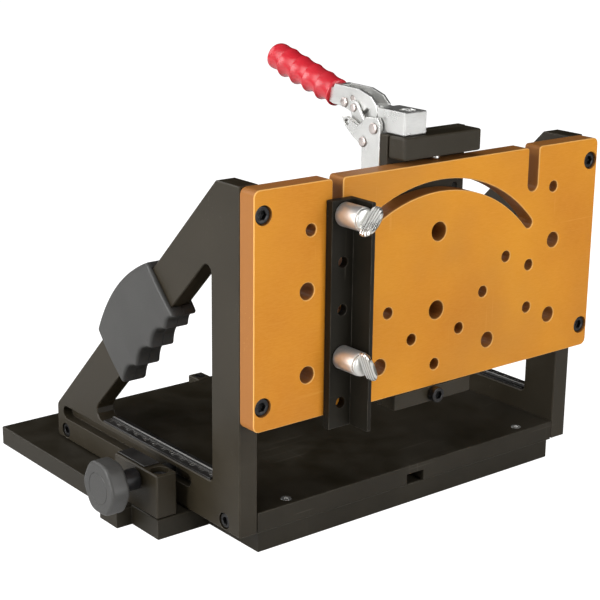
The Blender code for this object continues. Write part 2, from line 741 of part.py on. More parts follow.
def pin(name, jig, spot, low, high, head=0.0, ends=(True, True)):
    """A pin along X between two distances from the clamp's middle, with a low head at the chosen ends."""
    length = high - low
    rise = 0.9
    top = [(head * 0.7, length), (head, length - 0.5), (head, length - rise), (PIN_RADIUS, length - rise)]
    foot = [(PIN_RADIUS, rise), (head, rise), (head, 0.5), (head * 0.7, 0)]
    profile = [(0, length)]
    profile += top if ends[1] else [(PIN_RADIUS, length)]
    profile += foot if ends[0] else [(PIN_RADIUS, 0)]
    profile += [(0, 0)]
    origin = (TOGGLE_X + low, back(spot[0]), spot[1])
    return turned(name, "zinc_plate", jig.parts, origin, "+X", profile, 14)


def stub_pins(name, jig, spot, inner, outer, head):
    """A short pin on each side of the clamp, headed at its outer end."""
    pin(f"{name}_left", jig, spot, -outer, -inner, head, (True, False))
    pin(f"{name}_right", jig, spot, inner, outer, head, (False, True))


def pivot_hole(jig, target, spot, radius=2.2):
    """A pivot hole right across the clamp."""
    jig.bore(target, (TOGGLE_X - 14, back(spot[0]), spot[1]), "+X", radius, 28, 12)


def link_outline(start, end, radius):
    """A bar with round ends between two pivots."""
    angle = math.atan2(end[1] - start[1], end[0] - start[0])
    outline = arc(end, radius, angle - math.pi / 2, angle + math.pi / 2, 6)
    outline += arc(start, radius, angle + math.pi / 2, angle + 1.5 * math.pi, 6)
    return outline


def build_toggle_body(jig):
    """The folded steel body of the toggle clamp on the post's rear face."""
    rear = POST_THICK + GAP
    cheek = [
        (rear, 178.0), (22.6, 178.0), (22.6, 223.5), (30.4, 227.6), (37.8, 233.2), (40.6, 238.0), (36.0, 239.0),
        (26.0, 235.0), (19.0, 240.8), (9.0, 241.5), (rear, 238.0),
    ]
    body = slab(jig, "toggle_body", "zinc_plate", jig.parts, cheek, -11.8, -9.3)
    right = slab(jig, "toggle_body_right_cheek", None, jig.cutters, cheek, 9.3, 11.8)
    jig.join(body, right)
    web = box(
        "toggle_body_web", None, jig.cutters,
        (TOGGLE_X - 11.0, back(rear), 179.0), (TOGGLE_X + 11.0, back(rear + 2.5), 222.0),
    )
    jig.join(body, web)
    pivot_hole(jig, body, ARM_PIN)
    pivot_hole(jig, body, LINK_PIN)
    pivot_hole(jig, body, (36.0, 235.6), 1.9)
    for level, z in zip(("lower", "upper"), TOGGLE_SCREW_Z):
        jig.bore(body, (TOGGLE_X, back(rear + 2.5), z), "-Y", 2.5, 4)
        seat = (TOGGLE_X, back(rear + 2.5 + GAP), z)
        jig.cap_screw(f"toggle_screw_{level}", seat, "+Y", (3.8, 3.6), (2.1, 8.0), "zinc_plate")
    pin("arm_pin", jig, ARM_PIN, -13.0, 13.0, 3.3)
    stub_pins("link_pin", jig, LINK_PIN, 6.3, 13.0, 3.0)
    return body


def build_arm(jig):
    """The clamp arm with the hold-down block bolted under it."""
    bar_top = 246.8
    bar_low = POST_TOP + GAP
    lever = [
        (-10.0, bar_low), (7.2, bar_low), (9.6, 229.9), (13.2, 229.2), (18.0, 230.9), (39.6, 244.2), (41.9, 248.3),
        (40.4, 251.6), (37.0, 252.2), (26.0, bar_top), (-10.0, bar_top),
    ]
    arm = slab(jig, "toggle_arm", "zinc_plate", jig.parts, lever, -3.4, 3.4)
    bar = box(
        "toggle_arm_bar", None, jig.cutters,
        (TOGGLE_X - 8.5, back(-10.4), bar_low), (TOGGLE_X + 8.5, back(13.2), bar_top),
    )
    bevel = bar.modifiers.new("edges", "BEVEL")
    bevel.width = 0.6 * MM
    bevel.segments = 1
    jig.join(arm, bar)
    pivot_hole(jig, arm, ARM_PIN)
    pivot_hole(jig, arm, HANDLE_PIN)
    block = box(
        "hold_down_block", "black_anodised", jig.parts,
        (-POST_HALF + 0.4, back(-13.7), BLOCK_LOW), (POST_HALF - 0.4, back(-GAP), POST_TOP), 1.3, 2,
    )
    x, y = TOGGLE_X, back(-3.4)
    jig.bore(arm, (x, y, bar_top), "-Z", 2.9, 16, 14)
    jig.bore(arm, (x, y, bar_top), "-Z", 4.8, 3.6, 18)
    jig.bore(block, (x, y, POST_TOP), "-Z", 2.7, 9, 14)
    jig.cap_screw("hold_down_bolt", (x, y, bar_top - 3.3), "+Z", (4.3, 2.8), (2.4, 17.9), "zinc_plate")
    spot = (0.6, back(-7.0), BLOCK_LOW)
    jig.bore(block, spot, "+Z", 2.4, 7, 12)
    profile = [(0, 6.0), (2.0, 6.0), (2.0, -2.2), (1.5, -2.6), (0, -2.6)]
    turned("pressure_screw", "zinc_plate", jig.parts, spot, "+Z", profile, 12)
    pin("handle_pin", jig, HANDLE_PIN, -5.7, 5.7, ends=(False, False))
    return arm


def build_links(jig):
    """The two link plates between the body and the handle, with the pin that joins them."""
    bar = link_outline(LINK_PIN, COUPLER_PIN, 4.2)
    for side, label in ((-1, "left"), (1, "right")):
        low, high = sorted((side * 6.2, side * 7.85))
        link = slab(jig, f"toggle_link_{label}", "zinc_plate", jig.parts, bar, low, high, 0.25)
        pivot_hole(jig, link, LINK_PIN)
        pivot_hole(jig, link, COUPLER_PIN)
    stub_pins("coupler_pin", jig, COUPLER_PIN, 6.3, 9.0, 2.5)


def build_handle(jig):
    """The forked steel handle and its lobed vinyl grip."""
    fork = [
        (15.6, 242.6), (16.6, 239.8), (20.0, 240.0), (22.0, 243.6), (25.5, 244.4), (30.0, 240.4), (34.6, 239.4),
        (40.0, 240.6), (47.0, 242.6), (55.5, 243.0), (59.5, 244.1), (103.9, 256.0), (101.7, 264.5),
        (56.4, 252.4), (54.6, 255.0), (45.0, 254.9), (32.6, 254.6), (22.4, 251.7), (17.4, 247.4),
    ]
    handle = slab(jig, "toggle_handle", "zinc_plate", jig.parts, fork, -5.8, 5.8, 0.35)
    slot = box(
        "toggle_handle_slot", None, jig.cutters,
        (TOGGLE_X - 3.8, back(5), 230), (TOGGLE_X + 3.8, back(50.5), 265),
    )
    jig.cut(handle, slot)
    pivot_hole(jig, handle, HANDLE_PIN)

    profile = [(0, GRIP_LENGTH)]
    tip = 8.6
    for k in range(1, 6):
        angle = math.pi / 2 * k / 5
        profile.append((tip * math.sin(angle), GRIP_LENGTH - tip + tip * math.cos(angle)))
    lobes = 5
    start = GRIP_LENGTH - tip
    for k in range(1, 4 * lobes + 1):
        t = k / (4 * lobes)
        swell = abs(math.sin(math.pi * t * lobes))
        profile.append((8.4 + 0.5 * t + 1.0 * swell, start * (1 - t)))
    profile.append((0, 0))
    tilt = (GRIP_TILT - math.pi / 2, 0, 0)
    grip = turned(
        "handle_grip", "red_vinyl", jig.parts, (TOGGLE_X, back(GRIP_START[0]), GRIP_START[1]), tilt, profile, 20
    )
    room = box("handle_grip_room", None, jig.cutters, (-6.15, -4.9, -1), (6.15, 4.9, 48.5))
    room.parent = grip
    jig.cut(grip, room)


def hinge(name, spot, pieces):
    """An empty on a joint's axis that carries the pieces which move with it."""
    pivot = bpy.data.objects.new(name, None)
    bpy.context.scene.collection.objects.link(pivot)
    pivot.location = Vector(spot) * MM
    for piece in pieces:
        item = bpy.data.objects[piece]
        item.parent = pivot
        item.matrix_parent_inverse = Matrix.Translation(-pivot.location)
    return pivot


def main():
    """Build the jig and hang its moving pieces on their axes."""
    clear_scene()
    jig = Jig()
    build_base(jig)
    knob_centre = build_knob(jig)
    build_frames(jig)
    build_grips(jig)
    build_scales(jig)
    build_face(jig)
    build_post(jig)
    screw_places = build_fence(jig)
    build_toggle_body(jig)
    build_arm(jig)
    build_links(jig)
    build_handle(jig)

    x = TOGGLE_X
    hinge("arm_axis", (x, back(ARM_PIN[0]), ARM_PIN[1]), [
        "toggle_arm", "hold_down_block", "hold_down_bolt", "pressure_screw", "handle_pin",
    ])
    hinge("link_axis", (x, back(LINK_PIN[0]), LINK_PIN[1]), [
        "toggle_link_left", "toggle_link_right", "coupler_pin_left", "coupler_pin_right",
    ])
    hinge("handle_axis", (x, back(HANDLE_PIN[0]), HANDLE_PIN[1]), ["toggle_handle", "handle_grip"])
    hinge("knob_axis", knob_centre, ["clamp_knob", "knob_stud"])
    for level, spot in zip(("upper", "lower"), screw_places):
        hinge(f"{level}_screw_axis", spot, [f"{level}_thumb_screw"])
    still = {
        "base_plate", "guide_key", "guide_key_screw_front", "guide_key_screw_rear", "rear_stop_block",
        "rear_stop_screw", "pin_block", "pin_block_screw", "pin_block_scale",
    }
    riders = [item.name for item in jig.parts.objects if item.parent is None and item.name not in still]
    hinge("carriage_axis", (0, FRONT, DECK_LOW), riders)


main()
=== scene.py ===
"""Looks of the dovetail jig: finely modelled grips, knobs and screws, and a worked finish on every surface."""
import json
import logging
import math
from dataclasses import dataclass, replace
from enum import Enum
from typing import Callable, Sequence

import bmesh
import bpy
import numpy as np
from mathutils import Matrix, Vector

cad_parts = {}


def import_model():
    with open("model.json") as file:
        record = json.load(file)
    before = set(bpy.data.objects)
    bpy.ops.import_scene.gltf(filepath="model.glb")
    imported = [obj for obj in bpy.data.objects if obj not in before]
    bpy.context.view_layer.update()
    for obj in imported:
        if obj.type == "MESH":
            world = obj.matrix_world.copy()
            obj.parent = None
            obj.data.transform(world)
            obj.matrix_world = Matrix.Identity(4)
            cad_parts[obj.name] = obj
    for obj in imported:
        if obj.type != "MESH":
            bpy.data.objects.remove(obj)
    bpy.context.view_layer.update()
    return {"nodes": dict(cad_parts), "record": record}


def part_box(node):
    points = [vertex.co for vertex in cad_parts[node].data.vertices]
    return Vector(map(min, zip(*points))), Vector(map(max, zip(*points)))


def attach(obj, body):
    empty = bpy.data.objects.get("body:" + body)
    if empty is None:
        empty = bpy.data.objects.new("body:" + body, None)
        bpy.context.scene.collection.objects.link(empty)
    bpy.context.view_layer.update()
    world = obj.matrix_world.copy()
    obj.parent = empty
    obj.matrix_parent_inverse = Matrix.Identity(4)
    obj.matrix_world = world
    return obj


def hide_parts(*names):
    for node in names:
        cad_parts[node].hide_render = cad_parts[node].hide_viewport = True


LOG = logging.getLogger("dovetail_jig")
MM = 0.001
FRONT = -120.5
STRUT_MID = 128.25
PADDLE_FOOT = -158.4
PADDLE_PITCH = 1.98
WELD = 0.004
DUST = (0.42, 0.40, 0.37)
# colour of the painted shade in the valleys between a thumb screw's ribs
RIB_SHADE_COLOUR = (0.10, 0.09, 0.07)
FIGURE_INK = (0.46, 0.45, 0.42)
SIDES = (("left", -1), ("right", 1))

Array = np.ndarray
Colour = tuple[float, float, float]


class Axis(Enum):
    """The way that a turned piece's own +Z points in the jig's frame."""

    RIGHT = (1.0, 0.0, 0.0)
    LEFT = (-1.0, 0.0, 0.0)
    REAR = (0.0, 1.0, 0.0)
    FRONT = (0.0, -1.0, 0.0)
    UP = (0.0, 0.0, 1.0)


class Body(Enum):
    """The jig's rigid bodies."""

    BASE = "base"
    CARRIAGE = "carriage"
    HOLD_DOWN = "hold_down"
    LINK = "link"
    HANDLE = "handle"
    UPPER_SCREW = "upper_screw"
    LOWER_SCREW = "lower_screw"
    KNOB = "knob"


# ---------------------------------------------------------------- surfaces


def frame_of(direction: Sequence[float]) -> Array:
    """Three unit rows: two across a direction, then the direction itself.

    Args:
        direction: The way that the third row points.

    Returns:
        A 3 by 3 array whose rows are right-handed.
    """
    ahead = np.asarray(direction, float)
    ahead = ahead / np.linalg.norm(ahead)
    helper = np.array([0.0, 0.0, 1.0]) if abs(ahead[2]) < 0.9 else np.array([1.0, 0.0, 0.0])
    side = np.cross(helper, ahead)
    side /= np.linalg.norm(side)
    return np.array([side, np.cross(ahead, side), ahead])


def grid_faces(rows: int, columns: int, wrap: bool) -> Array:
    """Quads over a grid of points stored row by row.

    Args:
        rows: Number of rows.
        columns: Number of points in a row.
        wrap: True where each row closes on itself.

    Returns:
        An array of quads, four point numbers each.
    """
    row, column = np.meshgrid(np.arange(rows - 1), np.arange(columns if wrap else columns - 1), indexing="ij")
    after = (column + 1) % columns
    here = row * columns
    above = (row + 1) * columns
    return np.stack([here + column, here + after, above + after, above + column], axis=-1).reshape(-1, 4)


def piece(
    name: str, points: Array, faces: Array, material: bpy.types.Material, smooth_below: float = 40.0
) -> bpy.types.Object:
    """A mesh object at the origin with welded points, outward faces and soft shading under an angle.

    Args:
        name: The piece's name.
        points: Points in millimetres, in the jig's frame.
        faces: Quads as point numbers.
        material: Its finish.
        smooth_below: Edges that fold less than this many degrees are shaded smooth.

    Returns:
        The new object.
    """
    mesh = bpy.data.meshes.new(name)
    mesh.from_pydata((points.reshape(-1, 3) * MM).tolist(), [], faces.tolist())
    shape = bmesh.new()
    shape.from_mesh(mesh)
    bmesh.ops.remove_doubles(shape, verts=shape.verts, dist=WELD * MM)
    bmesh.ops.recalc_face_normals(shape, faces=shape.faces)
    shape.to_mesh(mesh)
    shape.free()
    mesh.set_sharp_from_angle(angle=math.radians(smooth_below))
    mesh.polygons.foreach_set("use_smooth", np.ones(len(mesh.polygons), bool))
    mesh.materials.append(material)
    item = bpy.data.objects.new(name, mesh)
    bpy.context.scene.collection.objects.link(item)
    return item


def rings(
    origin: Sequence[float],
    direction: Sequence[float],
    radii: Sequence[Callable[[Array], Array] | float],
    heights: Sequence[Callable[[Array], Array] | float],
    columns: int = 64,
) -> tuple[Array, Array]:
    """A turned surface: each ring is a radius and a height, and either may change round the axis.

    A point is origin + radius(angle) * (cos, sin) across the axis + height(angle) along it.

    Args:
        origin: A point on the axis, in millimetres.
        direction: The axis.
        radii: One radius, or function of the angle, for each ring.
        heights: One height, or function of the angle, for each ring.
        columns: Points round the axis.

    Returns:
        Its points and quads.
    """
    angle = np.linspace(0.0, math.tau, columns, endpoint=False)
    radius = np.stack([r(angle) if callable(r) else np.full(columns, float(r)) for r in radii])
    height = np.stack([h(angle) if callable(h) else np.full(columns, float(h)) for h in heights])
    basis = frame_of(direction)
    across = radius[..., None] * (np.cos(angle)[:, None] * basis[0] + np.sin(angle)[:, None] * basis[1])
    points = np.asarray(origin, float) + across + height[..., None] * basis[2]
    return points, grid_faces(len(radii), columns, True)


def turned(
    name: str,
    origin: Sequence[float],
    direction: Sequence[float],
    radii: Sequence[Callable[[Array], Array] | float],
    heights: Sequence[Callable[[Array], Array] | float],
    material: bpy.types.Material,
    columns: int = 64,
) -> bpy.types.Object:
    """A piece made of one turned surface.

    Args:
        name: The piece's name.
        origin: A point on the axis, in millimetres.
        direction: The axis.
        radii: One radius, or function of the angle, for each ring.
        heights: One height, or function of the angle, for each ring.
        material: Its finish.
        columns: Points round the axis.

    Returns:
        The new object.
    """
    return piece(name, *rings(origin, direction, radii, heights, columns), material)


def shells(*parts: tuple[Array, Array]) -> tuple[Array, Array]:
    """Several closed surfaces as one list of points and one of faces.

    Args:
        *parts: Points and faces of each surface.

    Returns:
        All points and all faces.
    """
    points = [np.asarray(places, float).reshape(-1, 3) for places, _ in parts]
    firsts = np.cumsum([0] + [len(places) for places in points[:-1]])
    return np.vstack(points), np.vstack([first + faces for first, (_, faces) in zip(firsts, parts)])


def there_and_back(loops: int, power: float) -> tuple[Array, Array]:
    """Shares from 0 to 1 and back, for the two faces of a flat piece, and which face each is on.

    Args:
        loops: Loops on each face.
        power: Below 1 it crowds the loops towards the rim.

    Returns:
        The shares and the sides, both as columns.
    """
    rise = np.linspace(0.0, 1.0, loops) ** power
    return np.concatenate([rise, rise[::-1]])[:, None], np.repeat([1.0, -1.0], loops)[:, None]


def fillet(corner: Sequence[float], radius: float, start: float, end: float, steps: int = 5) -> Array:
    """Points (radius, height) of a rounded edge about a centre.

    Args:
        corner: The centre of the rounding.
        radius: Its radius.
        start: First angle in degrees.
        end: Last angle in degrees.
        steps: Number of points.

    Returns:
        An array of points.
    """
    turn = np.radians(np.linspace(start, end, steps))
    return np.stack([corner[0] + radius * np.cos(turn), corner[1] + radius * np.sin(turn)], axis=1)


def hexagon(apothem: float) -> Callable[[Array], Array]:
    """The radius of a hexagonal socket at each angle."""
    sixth = math.pi / 3
    return lambda angle: apothem / np.cos(np.mod(angle, sixth) - sixth / 2)


# ---------------------------------------------------------------- shader groups


class Tree:
    """A node tree with short ways to add and join nodes."""

    def __init__(self, tree: bpy.types.NodeTree) -> None:
        """Keep the tree.

        Args:
            tree: The tree that nodes go into.
        """
        self.tree = tree

    def put(self, kind: str, sockets: dict | None = None, **settings: object) -> bpy.types.Node:
        """Add a node.

        Args:
            kind: Its type, without the leading ShaderNode.
            sockets: Input name or number to a value or an output to join.
            **settings: The node's own properties.

        Returns:
            The node.
        """
        node = self.tree.nodes.new("ShaderNode" + kind)
        for key, value in settings.items():
            setattr(node, key, value)
        for key, value in (sockets or {}).items():
            if isinstance(value, bpy.types.NodeSocket):
                self.tree.links.new(value, node.inputs[key])
            else:
                node.inputs[key].default_value = value
        return node

    def place(self) -> bpy.types.NodeSocket:
        """The jig's own coordinates, in metres."""
        return self.put("TexCoord").outputs["Object"]

    def math(self, operation: str, *values: object) -> bpy.types.NodeSocket:
        """A Math node's result.

        Args:
            operation: The operation's name.
            *values: Numbers or outputs.

        Returns:
            The result.
        """
        return self.put("Math", dict(enumerate(values)), operation=operation).outputs[0]

    def noise(
        self, scale: object, detail: float = 3.0, place: bpy.types.NodeSocket | None = None
    ) -> bpy.types.NodeSocket:
        """Noise from 0 to 1 in space.

        Args:
            scale: Cells in a metre.
            detail: Finer layers.
            place: Coordinates, or the jig's own.

        Returns:
            The noise value.
        """
        sockets = {"Vector": place or self.place(), "Scale": scale, "Detail": detail, "Roughness": 0.55}
        return self.put("TexNoise", sockets).outputs["Fac"]

    def spread(
        self, value: object, low: float, high: float, out_low: float = 0.0, out_high: float = 1.0
    ) -> bpy.types.NodeSocket:
        """A value's range mapped onto another, clamped.

        Args:
            value: The value.
            low: Start of its range.
            high: End of its range.
            out_low: What the start becomes.
            out_high: What the end becomes.

        Returns:
            The mapped value.
        """
        sockets = {"Value": value, "From Min": low, "From Max": high, "To Min": out_low, "To Max": out_high}
        return self.put("MapRange", sockets).outputs["Result"]

    def blend(self, factor: object, first: object, second: object) -> bpy.types.NodeSocket:
        """A mix of two colours.

        Args:
            factor: How much of the second.
            first: A colour or output.
            second: A colour or output.

        Returns:
            The mixed colour.
        """
        node = self.put("Mix", data_type="RGBA")
        for key, value in ((0, factor), (6, first), (7, second)):
            if isinstance(value, bpy.types.NodeSocket):
                self.tree.links.new(value, node.inputs[key])
            else:
                node.inputs[key].default_value = (*value, 1.0) if isinstance(value, tuple) else value
        return node.outputs[2]

    def stretched(self, scale: Sequence[float]) -> bpy.types.NodeSocket:
        """The jig's coordinates stretched along its axes."""
        return self.put("Mapping", {"Vector": self.place(), "Scale": tuple(scale)}).outputs["Vector"]


def group(name: str, inputs: dict[str, float], outputs: dict[str, str], fill: Callable) -> bpy.types.NodeTree:
    """A shader node group, built once.

    Args:
        name: The group's name.
        inputs: Input names and their first values.
        outputs: Output names and socket types.
        fill: Called with the tree and the group's inputs, returns the outputs by name.

    Returns:
        The group.
    """
    if name in bpy.data.node_groups:
        return bpy.data.node_groups[name]
    made = bpy.data.node_groups.new(name, "ShaderNodeTree")
    for key, value in inputs.items():
        socket = made.interface.new_socket(key, in_out="INPUT", socket_type="NodeSocketFloat")
        socket.default_value = value
    for key, kind in outputs.items():
        made.interface.new_socket(key, in_out="OUTPUT", socket_type=kind)
    tree = Tree(made)
    entry = made.nodes.new("NodeGroupInput")
    leave = made.nodes.new("NodeGroupOutput")
    for key, socket in fill(tree, entry.outputs).items():
        made.links.new(socket, leave.inputs[key])
    return made


def worn_edges() -> bpy.types.NodeTree:
    """Rounded normals and a mask of rubbed edges: the mask is high where a rounded normal leaves the flat one."""

    def fill(tree: Tree, given: bpy.types.NodeOutputs) -> dict:
        """The rounded normal and the mask of rubbed edges."""
        soft = tree.put("Bevel", {"Radius": given["Radius"]}, samples=6).outputs["Normal"]
        flat = tree.put("NewGeometry").outputs["Normal"]
        near = tree.put("VectorMath", {0: soft, 1: flat}, operation="DOT_PRODUCT").outputs["Value"]
        edge = tree.spread(tree.math("SUBTRACT", 1.0, near), 0.015, 0.16)
        patches = tree.spread(tree.noise(given["Scale"], 5.0), 0.38, 0.62, 0.25, 1.0)
        mask = tree.math("MULTIPLY", tree.math("MULTIPLY", edge, patches), given["Amount"])
        return {"Mask": mask, "Normal": soft}

    inputs = {"Radius": 0.0005, "Scale": 90.0, "Amount": 1.0}
    return group("worn_edges", inputs, {"Mask": "NodeSocketFloat", "Normal": "NodeSocketVector"}, fill)


def fine_grain() -> bpy.types.NodeTree:
    """A fine surface texture: small cells for bump, and broad patches for tone and gloss."""

    def fill(tree: Tree, given: bpy.types.NodeOutputs) -> dict:
        """The small cells and the broad patches."""
        small = tree.noise(given["Grain"], 4.0)
        broad = tree.noise(given["Patches"], 3.0)
        return {"Height": small, "Tone": tree.spread(broad, 0.3, 0.7)}

    return group(
        "fine_grain", {"Grain": 2600.0, "Patches": 28.0},
        {"Height": "NodeSocketFloat", "Tone": "NodeSocketFloat"}, fill,
    )


def hairline_scratches() -> bpy.types.NodeTree:
    """Sparse hairlines in two directions: only the crests of a long stretched noise."""

    def fill(tree: Tree, given: bpy.types.NodeOutputs) -> dict:
        """The hairlines of both directions, kept to a few patches."""
        lines = []
        for scale in ((900.0, 9.0, 14.0), (12.0, 700.0, 760.0)):
            wave = tree.noise(1.0, 0.0, tree.stretched(scale))
            lines.append(tree.spread(wave, 0.74, 0.80))
        sparse = tree.spread(tree.noise(26.0, 2.0), 0.54, 0.64)
        both = tree.math("MAXIMUM", *lines)
        return {"Mask": tree.math("MULTIPLY", tree.math("MULTIPLY", both, sparse), given["Amount"])}

    return group("hairline_scratches", {"Amount": 0.5}, {"Mask": "NodeSocketFloat"}, fill)


def dust_film() -> bpy.types.NodeTree:
    """Fine dust on faces that look up: the upward share of the normal times a soft noise."""

    def fill(tree: Tree, given: bpy.types.NodeOutputs) -> dict:
        """The dust on upward faces."""
        normal = tree.put("NewGeometry").outputs["Normal"]
        upward = tree.put("SeparateXYZ", {0: normal}).outputs["Z"]
        cover = tree.math("MULTIPLY", tree.spread(upward, 0.4, 1.0), tree.spread(tree.noise(55.0, 6.0), 0.35, 0.7))
        return {"Mask": tree.math("MULTIPLY", cover, given["Amount"])}

    return group("dust_film", {"Amount": 0.2}, {"Mask": "NodeSocketFloat"}, fill)


# ---------------------------------------------------------------- finishes


@dataclass(frozen=True)
class Finish:
    """A surface finish: two close tones, worn edges, scratches, dust and a fine texture."""

    name: str
    slot: str
    tone: Colour
    second: Colour
    # colour of worn edges; on a ruled scale it is also the painted highlight of the bead
    wear_and_highlight_tone: Colour
    roughness: float = 0.45
    gloss_change: float = 0.12
    metallic: float = 0.0
    rubbed_metallic: float = 0.0
    edge_radius: float = 0.0005
    edge_wear: float = 0.7
    scratches: float = 0.4
    dust: float = 0.1
    grain: float = 2600.0
    patches: float = 28.0
    relief: float = 0.12
    coat: float = 0.0
    coat_roughness: float = 0.15
    specular: float = 0.5

    def surface(self, tree: Tree, tone: bpy.types.NodeSocket) -> tuple[object, object]:
        """The colour and an extra height before wear; a finish with its own pattern changes this.

        Args:
            tree: The material's tree.
            tone: A slow variation from 0 to 1.

        Returns:
            The colour and the height, or None for no height.
        """
        return tree.blend(tone, self.tone, self.second), None

    def material(self) -> bpy.types.Material:
        """The finish as a material, built once."""
        if self.name in bpy.data.materials:
            return bpy.data.materials[self.name]
        material = bpy.data.materials.new(self.name)
        material.use_nodes = True
        tree = Tree(material.node_tree)
        shader = material.node_tree.nodes["Principled BSDF"]
        shader.inputs["Coat Roughness"].default_value = self.coat_roughness
        shader.inputs["Specular IOR Level"].default_value = self.specular
        shader.inputs["Coat Weight"].default_value = self.coat
        edges = tree.put("Group", node_tree=worn_edges())
        edges.inputs["Radius"].default_value = self.edge_radius
        edges.inputs["Amount"].default_value = self.edge_wear
        grain = tree.put("Group", node_tree=fine_grain())
        grain.inputs["Grain"].default_value = self.grain
        grain.inputs["Patches"].default_value = self.patches
        lines = tree.put("Group", node_tree=hairline_scratches())
        lines.inputs["Amount"].default_value = self.scratches
        dust = tree.put("Group", node_tree=dust_film())
        dust.inputs["Amount"].default_value = self.dust
        colour, height = self.surface(tree, grain.outputs["Tone"])
        wear = tree.math("MAXIMUM", edges.outputs["Mask"], tree.math("MULTIPLY", lines.outputs["Mask"], 0.45))
        colour = tree.blend(wear, colour, self.wear_and_highlight_tone)
        colour = tree.blend(dust.outputs["Mask"], colour, DUST)
        change = self.gloss_change
        rough = tree.spread(grain.outputs["Tone"], 0.0, 1.0, self.roughness - change, self.roughness + change)
        rough = tree.math("ADD", rough, tree.math("MULTIPLY", dust.outputs["Mask"], 0.3))
        bared = max(self.metallic, self.rubbed_metallic)
        metal = tree.spread(edges.outputs["Mask"], 0.0, 1.0, self.metallic, bared)
        relief = grain.outputs["Height"]
        if height is not None:
            relief = tree.math("ADD", relief, height)
        relief = tree.math("SUBTRACT", relief, tree.math("MULTIPLY", lines.outputs["Mask"], 0.6))
        soft = edges.outputs["Normal"]
        bump = tree.put("Bump", {"Strength": self.relief, "Distance": 0.0004, "Height": relief, "Normal": soft})
        results = {"Base Color": colour, "Roughness": rough, "Metallic": metal, "Normal": bump.outputs["Normal"]}
        for socket, value in results.items():
            material.node_tree.links.new(value, shader.inputs[socket])
        return material


class Laminate(Finish):
    """Amber cloth laminate: a plain weave on its faces, pale chamfers and brown layered walls."""

    def surface(self, tree: Tree, tone: bpy.types.NodeSocket) -> tuple[object, object]:
        """Split faces, chamfers and walls by how far the flat normal turns from front to back.

        Args:
            tree: The material's tree.
            tone: A slow variation from 0 to 1.

        Returns:
            The colour and the weave's height.
        """
        weave = []
        for direction in ("X", "Z"):
            sockets = {"Vector": tree.place(), "Scale": 330.0, "Distortion": 0.7, "Detail": 1.0, "Detail Scale": 2.0}
            weave.append(tree.put("TexWave", sockets, bands_direction=direction).outputs["Fac"])
        cloth = tree.math("MULTIPLY", weave[0], weave[1])
        stains = tree.spread(tree.noise(9.0, 3.0), 0.50, 0.72)
        fibres = tree.spread(tree.noise(1.0, 3.0, tree.stretched((260.0, 260.0, 1500.0))), 0.35, 0.65)
        face = tree.blend(tone, self.tone, self.second)
        face = tree.blend(tree.math("MULTIPLY", cloth, 0.16), face, (0.40, 0.13, 0.012))
        face = tree.blend(tree.math("MULTIPLY", fibres, 0.10), face, (0.80, 0.40, 0.09))
        face = tree.blend(tree.math("MULTIPLY", stains, 0.32), face, (0.36, 0.16, 0.035))
        normal = tree.put("SeparateXYZ", {0: tree.put("NewGeometry").outputs["True Normal"]})
        facing = tree.math("ABSOLUTE", normal.outputs["Y"])
        sockets = {"Vector": tree.place(), "Scale": 420.0, "Distortion": 1.2, "Detail": 2.0}
        layers = tree.put("TexWave", sockets, bands_direction="Y")
        wall = tree.blend(layers.outputs["Fac"], (0.24, 0.085, 0.018), (0.40, 0.165, 0.038))
        rim = tree.math("MULTIPLY", tree.spread(facing, 0.3, 0.5), tree.spread(facing, 0.85, 0.97, 1.0, 0.0))
        colour = tree.blend(tree.spread(facing, 0.25, 0.6), wall, face)
        colour = tree.blend(tree.math("MULTIPLY", rim, 0.75), colour, (0.78, 0.44, 0.14))
        return colour, tree.math("MULTIPLY", cloth, 0.5)


class Ruled(Finish):
    """A black scale with a painted highlight standing for a raised bead, and fine pale ruling every millimetre,
    longer every five and ten.
    """

    def surface(self, tree: Tree, tone: bpy.types.NodeSocket) -> tuple[object, object]:
        """Draw each ruling where the distance along the rail is near a whole step.

        Args:
            tree: The material's tree.
            tone: A slow variation from 0 to 1.

        Returns:
            The colour and no height.
        """
        split = tree.put("SeparateXYZ", {0: tree.place()})
        inward = tree.math("SUBTRACT", tree.math("ABSOLUTE", split.outputs["X"]), 0.1282)
        marks = []
        for step, reach, width in ((0.001, 0.0016, 0.16), (0.005, 0.0028, 0.040), (0.010, 0.0042, 0.026)):
            along = tree.math("FRACT", tree.math("DIVIDE", split.outputs["Y"], step))
            line = tree.math("LESS_THAN", along, width)
            marks.append(tree.math("MULTIPLY", line, tree.math("LESS_THAN", inward, reach)))
        longest = tree.math("MAXIMUM", marks[0], tree.math("MAXIMUM", marks[1], marks[2]))
        inked = tree.math("MULTIPLY", longest, tree.math("GREATER_THAN", inward, 0.0))
        # painted highlight: a pale band along the rail where a raised bead would catch the light
        inside = tree.math("GREATER_THAN", inward, -0.0020)
        painted_bead_highlight = tree.math("MULTIPLY", inside, tree.math("LESS_THAN", inward, -0.0008))
        ground = tree.blend(painted_bead_highlight, tree.blend(tone, self.tone, self.second), self.wear_and_highlight_tone)
        return tree.blend(inked, ground, FIGURE_INK), None


class Brushed(Finish):
    """Metal with fine lines left by grinding or turning, seen in its tone and relief."""

    def surface(self, tree: Tree, tone: bpy.types.NodeSocket) -> tuple[object, object]:
        """Lines are a noise stretched along the piece's own direction.

        Args:
            tree: The material's tree.
            tone: A slow variation from 0 to 1.

        Returns:
            The colour and the lines' height.
        """
        lines = tree.noise(1.0, 4.0, tree.stretched((220.0, 3400.0, 3400.0)))
        colour = tree.blend(tree.spread(lines, 0.3, 0.7), self.tone, self.second)
        return tree.blend(tree.math("MULTIPLY", tone, 0.3), colour, self.wear_and_highlight_tone), lines


